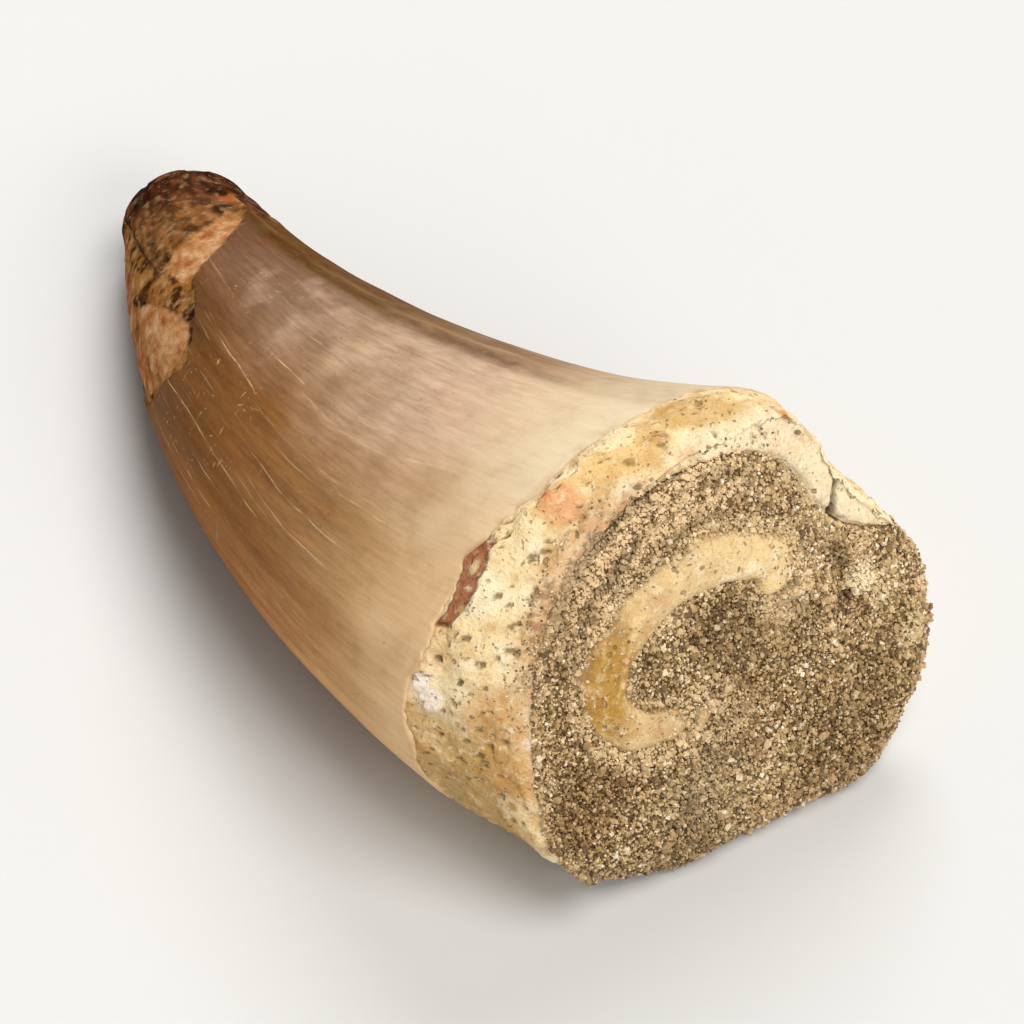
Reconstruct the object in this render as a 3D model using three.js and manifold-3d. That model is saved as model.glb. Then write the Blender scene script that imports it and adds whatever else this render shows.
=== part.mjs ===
// Fossil mosasaur tooth lying on its side: an enamelled crown on a broken root, with a plug of
// sandy sediment cemented into the root's hollow end.
// Millimetres and radians, +Z up. The broken end faces +X, the tip points to -X, and the side
// that the crown bends towards faces +Y. The tooth rests on the plane z = 0.

import * as THREE from 'three';
import { ImprovedNoise } from 'three/addons/math/ImprovedNoise.js';
import { mergeVertices } from 'three/addons/utils/BufferGeometryUtils.js';
import Module from 'manifold-3d';

const wasm = await Module();
wasm.setup();

const { degToRad, smoothstep, lerp, clamp } = THREE.MathUtils;
const TURN = 2 * Math.PI;

// --- Driving dimensions ---

// Crown: a blunt cone whose midline bends along a circular arc in plan.
const LENGTH = 57.6; // plan length of the midline, from the broken end to the tip
const BASE_HEADING = degToRad(-22.1); // heading of the midline at the broken end, from -X to +Y
const BEND = degToRad(52.2); // turn of that heading over the whole length
const BASE_RADIUS = 15.7; // half width that the taper starts from
const TAPER = 12.4; // half width lost from the broken end to the tip
const BELLY = 0.45; // extra half width at mid length
const FLARE = 0.85; // extra half width at the broken end
const FLARE_END = 0.3; // share of the length where that flare has died out
const FLATNESS = 0.9; // height of a cross-section over its width
const TIP_START = 0.95; // share of the length where the worn tip starts to round off
const ARCH = 0.1; // lift of the midline at mid length
const SINK = 0.3; // depth worn off the underside

// Cutting edges, one along each side of the crown.
const CARINA_ANGLES = [degToRad(67.5), degToRad(247.5)];
const CARINA_HEIGHT = 0.4;
const CARINA_SPREAD = degToRad(5);

// Enamel: its edge slants around the tooth, and a flake of it is lost below the tip.
const ENAMEL_EDGE = 0.152; // mean place of the edge, as a share of the length
const ENAMEL_SLANT = 0.059;
const ENAMEL_SLANT_ANGLE = degToRad(183);
const ENAMEL_LEDGE = 0.3; // step from the enamel down to the root
const FLAKE_DEPTH = 0.3;
const FLAKE_SPAN = [degToRad(62), degToRad(215)];
const FLAKE_START = [0.86, 0.61]; // where the flake starts, at the two ends of its span
const FLAKE_END = [0.9, 0.93]; // where the enamel of the tip starts again

// Broken end: a flat break, tilted to face upwards a little.
const BREAK_CENTRE = new THREE.Vector3(-1.6, 1.28, 11.2);
const BREAK_TILT = degToRad(21.2);
const BREAK_SWING = degToRad(-4.9); // turn about Z
const BREAK_RIM = [ // [degrees from +Y towards +Z, radius]
  [0, 13.4], [22, 11.9], [44, 11.8], [58, 13.5], [69, 15.2], [80, 14.6], [105, 14.7], [132, 14.7],
  [155, 14.3], [170, 14.2], [186, 14.4], [204, 15.0], [222, 14.1], [242, 12.6], [262, 11.5],
  [280, 11.6], [305, 13.9], [317, 13.9], [331, 14.2],
];

// Root: the band between the break and the enamel's edge, swollen above and below.
const ROOT_SWELL = 0.75;
const ROOT_SWELL_ANGLE = degToRad(108);
const ROOT_LUMP_HEIGHT = 0.55;
const ROOT_LUMP_SIZE = 3.6;

// Hollow of the root: walled where its outline lies inside the rim, open where it runs past it.
const HOLLOW_DEPTH = 3.2;
const FLOOR_LUMP_HEIGHT = 1.3;
const FLOOR_LUMP_SIZE = 5.5;
const HOLLOW_REACH = 6; // how far the cut runs out past the break
const HOLLOW_RIM = [
  [0, 17.0], [16, 12.6], [26, 10.6], [38, 9.7], [50, 9.9], [64, 11.6], [76, 12.8], [90, 13.4],
  [110, 14.0], [132, 14.2], [150, 13.9], [170, 13.7], [190, 14.0], [205, 14.3], [225, 17.0],
  [270, 17.0], [315, 18.0],
];

// Curved ridge of bone that stands in the hollow: its midline, across and up the break.
const RIDGE_LINE = [
  [2.5, 3.9], [2.5, 5.6], [0.7, 7.1], [-2.2, 7.4], [-5.4, 6.6], [-7.9, 4.9], [-8.9, 2.5],
  [-7.8, 0.2], [-5.2, -0.9], [-2.4, -1.2],
];
const RIDGE_WIDTHS = [2.6, 1.8]; // at its upper and its lower end
const RIDGE_PROUD = 0.8; // height over the plane of the break
const RIDGE_BEVEL = 0.35;
const RIDGE_ROOTED = 1.5; // depth of the ridge's foot below the mean floor of the hollow

// Sediment: fills the hollow, bulges out of it and rounds over at the open edge.
const SEDIMENT_GAP = 0.3; // to the walls, the floor and the ridge
const SEDIMENT_INSET = 0.12; // from the root's outer surface
const SEDIMENT_CLEARANCE = 0.4; // over the plane that the tooth rests on
const SEDIMENT_DOME = 0.5;
const SEDIMENT_ROUNDING = 1.5;
const SEDIMENT_ROUNDING_WIDTH = 2.6;
const SEDIMENT_OPEN_ANGLE = degToRad(288); // middle of the open side
const SEDIMENT_LUMP_HEIGHT = 0.5;
const SEDIMENT_LUMP_SIZE = 2.2;

// Facets.
const AROUND = 64;
const BREAK_ROWS = 3;
const FLOOR_ROWS = 5;
const ROOT_ROWS = 7;
const CROWN_ROWS = 28;
const SEDIMENT_TOP_ROWS = 9;
const SEDIMENT_SIDE_ROWS = 2;
const RIDGE_STEPS = 26;

// --- Small helpers ---

const noise = new ImprovedNoise();

function lump(point, size) {
  return noise.noise(point.x / size, point.y / size, point.z / size);
}

// Smooth closed outline given as [degrees, radius] pairs: a function from angle to radius.
function polarOutline(pairs) {
  const wrapped = [...pairs, [pairs[0][0] + 360, pairs[0][1]]];
  const angles = wrapped.map(([degrees]) => degToRad(degrees));
  const radii = wrapped.map(([, radius]) => radius);
  const curve = new THREE.CubicInterpolant(angles, radii, 1);
  curve.settings = { endingStart: THREE.WrapAroundEnding, endingEnd: THREE.WrapAroundEnding };
  return (angle) => curve.evaluate(THREE.MathUtils.euclideanModulo(angle, TURN))[0];
}

const rimRadius = polarOutline(BREAK_RIM);
const hollowRadius = polarOutline(HOLLOW_RIM);

// Closed surface: a sphere whose grid is moved onto place(row, angle), for row 0 to rows.
// Rows 0 and rows are single points, and angles run from +Y towards +Z, seen from +X.
function closedSurface(rows, place) {
  const geometry = new THREE.SphereGeometry(1, AROUND, rows);
  const position = geometry.attributes.position;
  for (let i = 0; i < position.count; i += 1) {
    const row = Math.floor(i / (AROUND + 1));
    const column = i % (AROUND + 1) % AROUND;
    const point = place(row, (column / AROUND) * TURN);
    position.setXYZ(i, point.x, point.y, point.z);
  }
  geometry.deleteAttribute('normal');
  geometry.deleteAttribute('uv');
  return mergeVertices(geometry);
}

function toSolid(geometry) {
  const bare = new THREE.BufferGeometry();
  bare.setAttribute('position', geometry.attributes.position);
  bare.setIndex(geometry.index);
  const merged = mergeVertices(bare);
  return new wasm.Manifold(new wasm.Mesh({
    numProp: 3,
    vertProperties: new Float32Array(merged.attributes.position.array),
    triVerts: new Uint32Array(merged.index.array),
  }));
}

function toGeometry(solid) {
  const { vertProperties, triVerts } = solid.getMesh();
  const geometry = new THREE.BufferGeometry();
  geometry.setAttribute('position', new THREE.BufferAttribute(vertProperties, 3));
  geometry.setIndex(new THREE.BufferAttribute(triVerts, 1));
  geometry.computeVertexNormals();
  return geometry;
}

// --- Crown ---

function crownRadius(s) {
  const flare = FLARE * Math.max(1 - s / FLARE_END, 0) ** 2;
  return BASE_RADIUS - TAPER * s + BELLY * Math.sin(Math.PI * s) + flare;
}

// Middle, direction and side axes of the cross-section at the share s of the length.
function section(s) {
  const heading = BASE_HEADING + BEND * s;
  const arcRadius = LENGTH / BEND;
  const swing = Math.PI * Math.cos(Math.PI * s);
  const slope = (FLATNESS * (BELLY * swing - TAPER) + ARCH * swing) / LENGTH;
  const middle = new THREE.Vector3(
    -arcRadius * (Math.sin(heading) - Math.sin(BASE_HEADING)),
    -arcRadius * (Math.cos(heading) - Math.cos(BASE_HEADING)),
    FLATNESS * crownRadius(s) - SINK + ARCH * Math.sin(Math.PI * s),
  );
  const along = new THREE.Vector3(-Math.cos(heading), Math.sin(heading), slope).normalize();
  const across = new THREE.Vector3(Math.sin(heading), Math.cos(heading), 0);
  const up = new THREE.Vector3().crossVectors(across, along);
  return { middle, across, up };
}

// Height of the two cutting edges, which fade out at the enamel's edge and at the worn tip.
function carinaHeight(s, angle) {
  const fade = smoothstep(s, 0.2, 0.35) * (1 - smoothstep(s, 0.85, 0.95));
  const edge = (middle) => {
    const away = Math.atan2(Math.sin(angle - middle), Math.cos(angle - middle));
    return Math.exp(-((away / CARINA_SPREAD) ** 2));
  };
  return CARINA_HEIGHT * fade * CARINA_ANGLES.reduce((sum, middle) => sum + edge(middle), 0);
}

// Depth of the flake that is lost from the enamel on the outer side, below the tip.
function flakeDepth(s, angle) {
  const share = (angle - FLAKE_SPAN[0]) / (FLAKE_SPAN[1] - FLAKE_SPAN[0]);
  const within = smoothstep(share, 0, 0.12) * (1 - smoothstep(share, 0.88, 1));
  const bow = Math.sqrt(clamp(share, 0, 1));
  const start = lerp(FLAKE_START[0], FLAKE_START[1], bow);
  const end = lerp(FLAKE_END[0], FLAKE_END[1], bow);
  return FLAKE_DEPTH * within * smoothstep(s, start, start + 0.02) * (1 - smoothstep(s, end, end + 0.02));
}

function tipRounding(s) {
  const share = clamp((s - TIP_START) / (1 - TIP_START), 0, 1);
  return Math.sqrt(1 - share * share);
}

function crownPoint(s, angle, lift) {
  const { middle, across, up } = section(s);
  const radius = (crownRadius(s) + lift) * tipRounding(s);
  return middle
    .addScaledVector(across, radius * Math.cos(angle))
    .addScaledVector(up, FLATNESS * radius * Math.sin(angle));
}

function enamelEdge(angle) {
  return ENAMEL_EDGE + ENAMEL_SLANT * Math.cos(angle - ENAMEL_SLANT_ANGLE);
}

function enamelPoint(share, angle) {
  const s = lerp(enamelEdge(angle), 1, lerp(share, Math.sin((share * Math.PI) / 2), 0.5));
  return crownPoint(s, angle, carinaHeight(s, angle) - flakeDepth(s, angle));
}

// --- Broken end and root ---

const breakNormal = new THREE.Vector3(
  Math.cos(BREAK_TILT) * Math.cos(BREAK_SWING),
  Math.cos(BREAK_TILT) * Math.sin(BREAK_SWING),
  Math.sin(BREAK_TILT),
);
const breakAcross = new THREE.Vector3(-Math.sin(BREAK_SWING), Math.cos(BREAK_SWING), 0);
const breakUp = new THREE.Vector3().crossVectors(breakNormal, breakAcross);

// Local frame of the break: x across, y up its slope, z out of it.
const breakFrame = new THREE.Matrix4()
  .makeBasis(breakAcross, breakUp, breakNormal)
  .setPosition(BREAK_CENTRE);

function breakPoint(radius, angle, height) {
  const local = new THREE.Vector3(radius * Math.cos(angle), radius * Math.sin(angle), height);
  return local.applyMatrix4(breakFrame);
}

// Point of the band between the rim of the break (share 0) and the enamel's edge (share 1).
function rootPoint(share, angle, inset) {
  const rim = breakPoint(rimRadius(angle), angle, 0);
  const ledge = crownPoint(enamelEdge(angle), angle, -ENAMEL_LEDGE);
  const middle = BREAK_CENTRE.clone().lerp(section(ENAMEL_EDGE).middle, share);
  const point = rim.lerp(ledge, share);
  const outward = point.clone().sub(middle).normalize();
  const swell = ROOT_SWELL * (1 + Math.cos(2 * (angle - ROOT_SWELL_ANGLE)));
  const bow = 4 * share * (1 - share);
  const rough = ROOT_LUMP_HEIGHT * lump(point, ROOT_LUMP_SIZE) * Math.sqrt(bow);
  return point.addScaledVector(outward, swell * bow + rough - inset);
}

function aboveFloor(point, floor) {
  point.z = Math.max(point.z, floor);
  return point;
}

function wholeTooth() {
  const rootEnd = BREAK_ROWS + ROOT_ROWS;
  return closedSurface(rootEnd + CROWN_ROWS, (row, angle) => {
    if (row <= BREAK_ROWS) {
      return aboveFloor(breakPoint((rimRadius(angle) * row) / BREAK_ROWS, angle, 0), 0);
    }
    if (row <= rootEnd) {
      return aboveFloor(rootPoint((row - BREAK_ROWS) / ROOT_ROWS, angle, 0), 0);
    }
    return aboveFloor(enamelPoint((row - rootEnd - 1) / (CROWN_ROWS - 1), angle), 0);
  });
}

// Height of the hollow's uneven floor over the plane of the break.
function floorHeight(radius, angle) {
  return FLOOR_LUMP_HEIGHT * lump(breakPoint(radius, angle, 0), FLOOR_LUMP_SIZE) - HOLLOW_DEPTH;
}

// Straight-sided plug under the hollow's outline, from its floor to well past the break.
function hollowPlug() {
  return closedSurface(FLOOR_ROWS + 2, (row, angle) => {
    const edge = hollowRadius(angle);
    if (row <= 1) {
      return breakPoint(row * edge, angle, HOLLOW_REACH);
    }
    const radius = (edge * (FLOOR_ROWS + 2 - row)) / FLOOR_ROWS;
    return breakPoint(radius, angle, floorHeight(radius, angle));
  });
}

// --- Ridge ---

// The ridge with its sides moved out by grow, from its foot to its crest.
function ridgeBar(grow, crest) {
  const points = RIDGE_LINE.map(([x, y]) => new THREE.Vector3(x, y, 0));
  const line = new THREE.CatmullRomCurve3(points);
  const left = [];
  const right = [];
  for (let i = 0; i <= RIDGE_STEPS; i += 1) {
    const at = line.getPoint(i / RIDGE_STEPS);
    const along = line.getTangent(i / RIDGE_STEPS);
    const half = lerp(...RIDGE_WIDTHS, i / RIDGE_STEPS) / 2 - RIDGE_BEVEL + grow;
    left.push(new THREE.Vector2(at.x - half * along.y, at.y + half * along.x));
    right.unshift(new THREE.Vector2(at.x + half * along.y, at.y - half * along.x));
  }
  const foot = -HOLLOW_DEPTH - RIDGE_ROOTED;
  const bar = new THREE.ExtrudeGeometry(new THREE.Shape([...right, ...left]), {
    depth: crest - foot - 2 * RIDGE_BEVEL,
    bevelThickness: RIDGE_BEVEL,
    bevelSize: RIDGE_BEVEL,
    bevelSegments: 1,
  });
  bar.translate(0, 0, foot + RIDGE_BEVEL);
  return bar.applyMatrix4(breakFrame);
}

// --- Sediment ---

// How far an angle lies on the side where the sediment has no wall: 1 there, 0 at the wall.
function openness(angle) {
  return smoothstep(Math.cos(angle - SEDIMENT_OPEN_ANGLE), -0.15, 0.45);
}

function sedimentHeight(radius, angle) {
  const rim = rimRadius(angle);
  const toEdge = clamp((rim - radius) / SEDIMENT_ROUNDING_WIDTH, 0, 1);
  const dome = SEDIMENT_DOME * (1 - (radius / rim) ** 2);
  const rounding = SEDIMENT_ROUNDING * openness(angle) * (1 - toEdge) ** 2;
  const rough = SEDIMENT_LUMP_HEIGHT * lump(breakPoint(radius, angle, 0), SEDIMENT_LUMP_SIZE);
  return dome - rounding + rough;
}

// Sediment before it is trimmed: a lumpy top, straight sides, and a bottom that fits the floor.
function sedimentBlank() {
  const topEnd = SEDIMENT_TOP_ROWS;
  const sideEnd = topEnd + SEDIMENT_SIDE_ROWS;
  const rows = sideEnd + FLOOR_ROWS;
  return closedSurface(rows, (row, angle) => {
    const edge = hollowRadius(angle) - SEDIMENT_GAP;
    if (row <= topEnd) {
      const radius = (edge * row) / topEnd;
      return breakPoint(radius, angle, sedimentHeight(radius, angle));
    }
    if (row < sideEnd) {
      const share = (row - topEnd) / SEDIMENT_SIDE_ROWS;
      const bottom = floorHeight(edge, angle) + SEDIMENT_GAP;
      return breakPoint(edge, angle, lerp(sedimentHeight(edge, angle), bottom, share));
    }
    const radius = (edge * (rows - row)) / FLOOR_ROWS;
    return breakPoint(radius, angle, floorHeight(radius, angle) + SEDIMENT_GAP);
  });
}

// The root's outer surface, carried on past the break: it trims the sediment's open side.
function sedimentTrim() {
  const outer = 2 * SEDIMENT_DOME + SEDIMENT_LUMP_HEIGHT;
  const place = (share, angle) => {
    const point = rootPoint(share, angle, SEDIMENT_INSET);
    return aboveFloor(point, SEDIMENT_CLEARANCE);
  };
  return closedSurface(ROOT_ROWS + 2, (row, angle) => {
    if (row === 0) {
      return breakPoint(0, angle, outer);
    }
    if (row === 1) {
      const radius = rimRadius(angle) - SEDIMENT_INSET;
      return aboveFloor(breakPoint(radius, angle, outer), SEDIMENT_CLEARANCE);
    }
    if (row <= ROOT_ROWS + 1) {
      return place((row - 2) / ROOT_ROWS, angle);
    }
    return section(ENAMEL_EDGE).middle;
  });
}

// --- Assembly ---

const toothMaterial = new THREE.MeshStandardMaterial({ color: 0xa98c6b, roughness: 0.35, metalness: 0 });
const sedimentMaterial = new THREE.MeshStandardMaterial({ color: 0x8a7a5f, roughness: 0.95, metalness: 0 });

function toothMesh() {
  const solid = toSolid(wholeTooth())
    .subtract(toSolid(hollowPlug()))
    .add(toSolid(ridgeBar(0, RIDGE_PROUD)));
  const mesh = new THREE.Mesh(toGeometry(solid), toothMaterial);
  mesh.name = 'tooth';
  return mesh;
}

function sedimentMesh() {
  const solid = toSolid(sedimentBlank())
    .intersect(toSolid(sedimentTrim()))
    .subtract(toSolid(ridgeBar(SEDIMENT_GAP, RIDGE_PROUD + 2 * SEDIMENT_GAP)));
  const mesh = new THREE.Mesh(toGeometry(solid), sedimentMaterial);
  mesh.name = 'sediment_matrix';
  return mesh;
}

const fossil = new THREE.Group();
fossil.add(toothMesh(), sedimentMesh());

// The origin is the middle of the footprint, on the plane that the tooth rests on.
const bounds = new THREE.Box3().setFromObject(fossil);
const centre = bounds.getCenter(new THREE.Vector3());
fossil.position.set(-centre.x, -centre.y, -bounds.min.z);

export default fossil;
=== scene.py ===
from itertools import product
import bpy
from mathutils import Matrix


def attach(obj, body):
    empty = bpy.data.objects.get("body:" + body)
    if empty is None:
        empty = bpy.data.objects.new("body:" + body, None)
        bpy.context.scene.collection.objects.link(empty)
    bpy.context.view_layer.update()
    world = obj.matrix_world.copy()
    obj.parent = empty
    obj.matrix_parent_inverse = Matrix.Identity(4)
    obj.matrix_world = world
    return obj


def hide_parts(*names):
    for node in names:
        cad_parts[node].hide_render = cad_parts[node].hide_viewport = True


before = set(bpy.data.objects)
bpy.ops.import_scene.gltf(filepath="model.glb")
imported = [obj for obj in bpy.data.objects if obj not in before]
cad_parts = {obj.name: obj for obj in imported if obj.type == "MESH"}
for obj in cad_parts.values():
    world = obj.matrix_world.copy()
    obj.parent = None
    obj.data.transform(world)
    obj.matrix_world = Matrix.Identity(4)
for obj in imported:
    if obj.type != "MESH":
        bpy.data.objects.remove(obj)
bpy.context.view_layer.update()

# Fossil mosasaur tooth lying on its side: enamelled crown, broken root, and cemented sand in its hollow.
# Shapes are worked out in millimetres in the form's own frame, +Z up, and go to the model's frame in metres.

from types import SimpleNamespace

import bpy
import numpy as np
from mathutils import Matrix, Vector

TURN = 2 * np.pi
MM = 0.001
FORM_ORIGIN = np.array([26.6619, 1.0627, 0.0])  # the form's origin, in the model's frame

# --- Driving dimensions, shared with the solids ---

LENGTH = 57.6
BASE_HEADING = np.radians(-22.1)
BEND = np.radians(52.2)
BASE_RADIUS = 15.7
TAPER = 12.4
BELLY = 0.45
FLARE = 0.85
FLARE_END = 0.3
FLATNESS = 0.9
TIP_START = 0.95
ARCH = 0.1
SINK = 0.3

CARINA_ANGLES = np.radians([67.5, 247.5])
CARINA_HEIGHT = 0.4
CARINA_SPREAD = np.radians(4.2)

ENAMEL_EDGE = 0.152
ENAMEL_SLANT = 0.059
ENAMEL_SLANT_ANGLE = np.radians(183)
ENAMEL_LEDGE = 0.3

BREAK_CENTRE = np.array([-1.6, 1.28, 11.2])
BREAK_TILT = np.radians(21.2)
BREAK_SWING = np.radians(-4.9)
BREAK_RIM = [
    (0, 13.4), (22, 11.9), (44, 11.8), (58, 13.5), (69, 15.2), (80, 14.6), (105, 14.7), (132, 14.7),
    (155, 14.3), (170, 14.2), (186, 14.4), (204, 15.0), (222, 14.1), (242, 12.6), (262, 11.5),
    (280, 11.6), (305, 13.9), (317, 13.9), (331, 14.2),
]
HOLLOW_RIM = [
    (0, 17.0), (16, 12.6), (26, 10.6), (38, 9.7), (50, 9.9), (64, 11.6), (76, 12.8), (90, 13.4),
    (110, 14.0), (132, 14.2), (150, 13.9), (170, 13.7), (190, 14.0), (205, 14.3), (225, 17.0),
    (270, 17.0), (315, 18.0),
]
ROOT_SWELL = 0.75
ROOT_SWELL_ANGLE = np.radians(108)
HOLLOW_DEPTH = 3.2

RIDGE_LINE = np.array([
    (2.5, 3.9), (2.5, 5.6), (0.7, 7.1), (-2.2, 7.4), (-5.4, 6.6), (-7.9, 4.9), (-8.9, 2.5),
    (-7.8, 0.2), (-5.2, -0.9), (-2.4, -1.2),
])
RIDGE_WIDTHS = (2.6, 1.8)
RIDGE_PROUD = 0.8
RIDGE_REACH = (1.9, 3.1)  # from its midline to its buried foot, inside and outside the curve
RIDGE_FOOT = 1.3
RIDGE_END = 1.1  # length over which the ridge tapers off at both ends

SEDIMENT_DOME = 0.5
SEDIMENT_ROUNDING = 1.5
SEDIMENT_ROUNDING_WIDTH = 2.6
SEDIMENT_OPEN_ANGLE = np.radians(288)
SEDIMENT_CLEARANCE = 0.4
SAND_LUMPS = [  # x, y on the break, size, rise
    (8.3, 2.2, 0.85, 0.5), (7.2, 3.1, 0.5, -0.5), (7.1, 1.4, 0.5, -0.35), (7.0, 4.6, 0.5, -0.4),
]

# --- Shades along the crown, by share of its length ---

# The top's shades are paler and greyer than the flank's: partly the enamel's own tone, partly a painted
# sheen.
TOP_SHADES_AND_SHEEN = [
    (.16, "dbc9aa"), (.24, "d1ba9b"), (.30, "c3a68c"), (.38, "ba9f87"), (.48, "ab8f74"), (.57, "937660"),
    (.66, "7c5c44"), (.75, "70482c"), (.90, "4a2a16"),
]
FLANK_SHADES = [
    (.16, "e8caa0"), (.23, "e2bd90"), (.29, "c29b6c"), (.36, "a4794c"), (.45, "946436"), (.55, "85572a"),
    (.65, "754b25"), (.80, "67421e"), (.90, "43250f"),
]
CAP_SHADES = [(.84, "77502c"), (.89, "54301a"), (.94, "40200f"), (1.0, "30160a")]

HOLLOW_SIDE_PAINTED_SHADE = [  # strength of the painted shade on the concave side, by share of the length
    (0.1, 0.2), (0.22, 0.36), (0.3, 0.66), (0.4, 0.78), (0.5, 0.80), (0.6, 0.92), (0.7, 1.12),
]

# --- Worn places of the crown, as outlines of (share of the length, degrees round the tooth) ---

CROWN_PLANE = (LENGTH, 6.0)  # millimetres for a whole share and for a radian, where the outlines are laid out
FLAKE = [
    (.831, 68), (.788, 82), (.753, 101), (.730, 117), (.700, 120), (.672, 124), (.642, 134), (.631, 141),
    (.653, 158), (.669, 174), (.700, 190), (.750, 204), (.810, 212), (.870, 214), (.920, 208), (.945, 192),
    (.945, 172), (.930, 158), (.900, 149), (.860, 143), (.790, 134), (.796, 124), (.805, 113), (.813, 104),
    (.820, 90), (.838, 78),
]
DENTINE_PATCHES = [
    [(.814, 71), (.836, 78), (.818, 91), (.808, 104), (.799, 114), (.790, 124), (.764, 126), (.735, 123),
     (.726, 116), (.736, 108), (.750, 100), (.772, 90), (.797, 78)],
    [(.780, 160), (.750, 143), (.708, 133), (.672, 130), (.651, 135), (.642, 141), (.657, 156), (.672, 165),
     (.720, 164)],
    [(.941, 166), (.900, 161), (.847, 161), (.808, 163), (.759, 165), (.700, 166), (.678, 172), (.710, 184),
     (.770, 190), (.840, 192), (.900, 188), (.940, 180)],
]
ORANGE_SPOT = [(.881, 77), (.893, 69), (.905, 58), (.858, 64), (.855, 72), (.866, 77)]
TIP_CAP = [
    (.838, 28), (.838, 78), (.820, 90), (.813, 104), (.805, 113), (.796, 124), (.790, 134), (.860, 143),
    (.900, 149), (.930, 158), (.945, 172), (.945, 192), (.920, 208), (.870, 214), (.840, 230), (.850, 270),
    (.830, 310), (.840, 350), (.838, 392), (1.05, 392), (1.05, 28),
]

# --- Marks of the root band, as outlines of (share from the break to the enamel, degrees) ---

ROOT_PLANE = (7.0, 15.5)
RED_FLAKE = [
    (.95, 146), (.91, 142), (.94, 134), (1.0, 128), (.98, 121), (.74, 125), (.66, 132), (.64, 137),
    (.69, 140), (.76, 145),
]
WHITE_CHIP = [(.98, 160), (.86, 160), (.68, 166), (.72, 171), (.86, 171)]
PEACH_PATCH = [(.80, 111), (.46, 111), (.21, 114), (.13, 119), (.20, 121), (.40, 120), (.62, 116)]
YELLOW_PATCH = [(.66, 109), (.61, 101), (.40, 98), (.29, 95), (.12, 99), (.10, 106), (.24, 111), (.40, 113)]
OCHRE_PATCH = [(.94, 76), (.84, 69), (.28, 75), (.16, 70), (.02, 76), (.10, 83), (.20, 89), (.34, 91)]
TAN_PATCH = [(.42, 160), (.12, 160), (.02, 166), (.02, 182), (.10, 190), (.34, 186), (.44, 174)]
ROOT_STAINS = [  # outline, colour, softness of its edge, strength
    (TAN_PATCH, "cf9a58", 0.8, 0.75), (OCHRE_PATCH, "d3aa68", 0.6, 0.85), (YELLOW_PATCH, "e9c180", 0.3, 0.85),
    (PEACH_PATCH, "ecb07c", 0.25, 0.95), (WHITE_CHIP, "fff4e4", 0.16, 1.0), (RED_FLAKE, "a4623c", 0.12, 0.95),
]
ROOT_SPOTS = [  # share, degrees, radius, colour
    (.08, 144, .42, "6d3a20"), (.00, 157, .40, "c4683c"), (.31, 93, .34, "a8853f"), (.16, 96, .4, "9a7c3e"),
    (.22, 103, .3, "a98848"), (.0, 68, .6, "d08a48"), (.05, 126, .3, "d89c70"), (.45, 184, .5, "a9824a"),
    (.60, 190, .5, "b08c50"), (.35, 196, .45, "9c7440"), (.80, 131, .66, "e6c898"), (.0, 172, .5, "fbe6d4"),
    (.12, 169, .26, "fbe9d8"), (.21, 167, .3, "c98a4c"), (.11, 178, .4, "e0b06a"), (.23, 191, .4, "a5814a"),
    (.97, 171, .5, "c69a60"), (.90, 178, .4, "c1955a"), (.72, 141, .3, "b39a66"), (.26, 95, .9, "cfa468"),
    (.84, 138, .2, "c98a58"), (.25, 182, .34, "cf9450"),
]
ROOT_PORES = [  # share, degrees, radius
    (.29, 129, .34), (.13, 137, .32), (.19, 150, .30), (.39, 154, .30), (.56, 148, .26), (.85, 155, .34),
    (.73, 123, .26), (.31, 140, .22), (.43, 138, .24), (.54, 159, .22), (.33, 160, .22), (.43, 162, .2),
    (.29, 166, .2), (.19, 144, .2), (.25, 125, .2), (.28, 152, .2), (.17, 136, .26), (.90, 118, .24),
    (.41, 172, .24), (.42, 179, .24), (.62, 169, .2), (.50, 176, .2),
]
CRACK_LINE = [(8.3, 9.3), (7.9, 8.2), (7.4, 6.7), (6.9, 4.5)]  # on the flat top of the bone
TERRACE_WIDTH = 0.84  # of the low step beside the break's rim
OPEN_SIDE_INSET = 2.4  # how far the bone draws back under the sand where the hollow's wall is missing
ROOT_WALL_HEIGHT = 1.9

# --- How finely things are made, and how many there are ---

CROWN_COLUMNS = 400
CROWN_ROWS = 214
TIP_ROWS = 26
ROOT_COLUMNS = 560
ROOT_BAND_ROWS = 84
ROOT_TOP_ROWS = 18
ROOT_WALL_ROWS = 8
SKIN_COLUMNS = 240
SKIN_TOP_ROWS = 60
SKIN_SIDE_ROWS = 16
RIDGE_STEPS = 150
RIDGE_PROFILE = 44
SCATTERED_PORES = 520
GRAIN_COUNT = 34000
SIDE_GRAIN_COUNT = 11000
RIM_GRAIN_COUNT = 3000
BAND_GRAIN_COUNT = 40000
GRAINS_A_PIECE = 13000

random = np.random.default_rng(7)

# --- Numbers ---


def smooth(value, low, high):
    share = np.clip((value - low) / (high - low), 0, 1)
    return share * share * (3 - 2 * share)


def lerp(a, b, share):
    return a + (b - a) * share


def unit(vectors):
    return vectors / np.linalg.norm(vectors, axis=-1, keepdims=True)


def grid(rows, columns):
    """Two arrays that hold the row's and the column's value at each crossing."""
    return np.meshgrid(rows, columns, indexing="ij")


def ring(angle, radius, z=0.0):
    """Points of a circle, where noise is read that only runs round the tooth."""
    return np.stack(np.broadcast_arrays(radius * np.cos(angle), radius * np.sin(angle), z), axis=-1)


def facing(angle, degrees, low, high):
    """How well angles face one way round the tooth, from 0 to 1 between two cosines."""
    return smooth(np.cos(angle - np.radians(degrees)), low, high)


def linear(hex_colour):
    """An sRGB colour such as "e6cfa0" as linear red, green and blue."""
    channels = np.array([int(hex_colour[i:i + 2], 16) for i in (0, 2, 4)]) / 255
    return np.where(channels <= 0.04045, channels / 12.92, ((channels + 0.055) / 1.055) ** 2.4)


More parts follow.
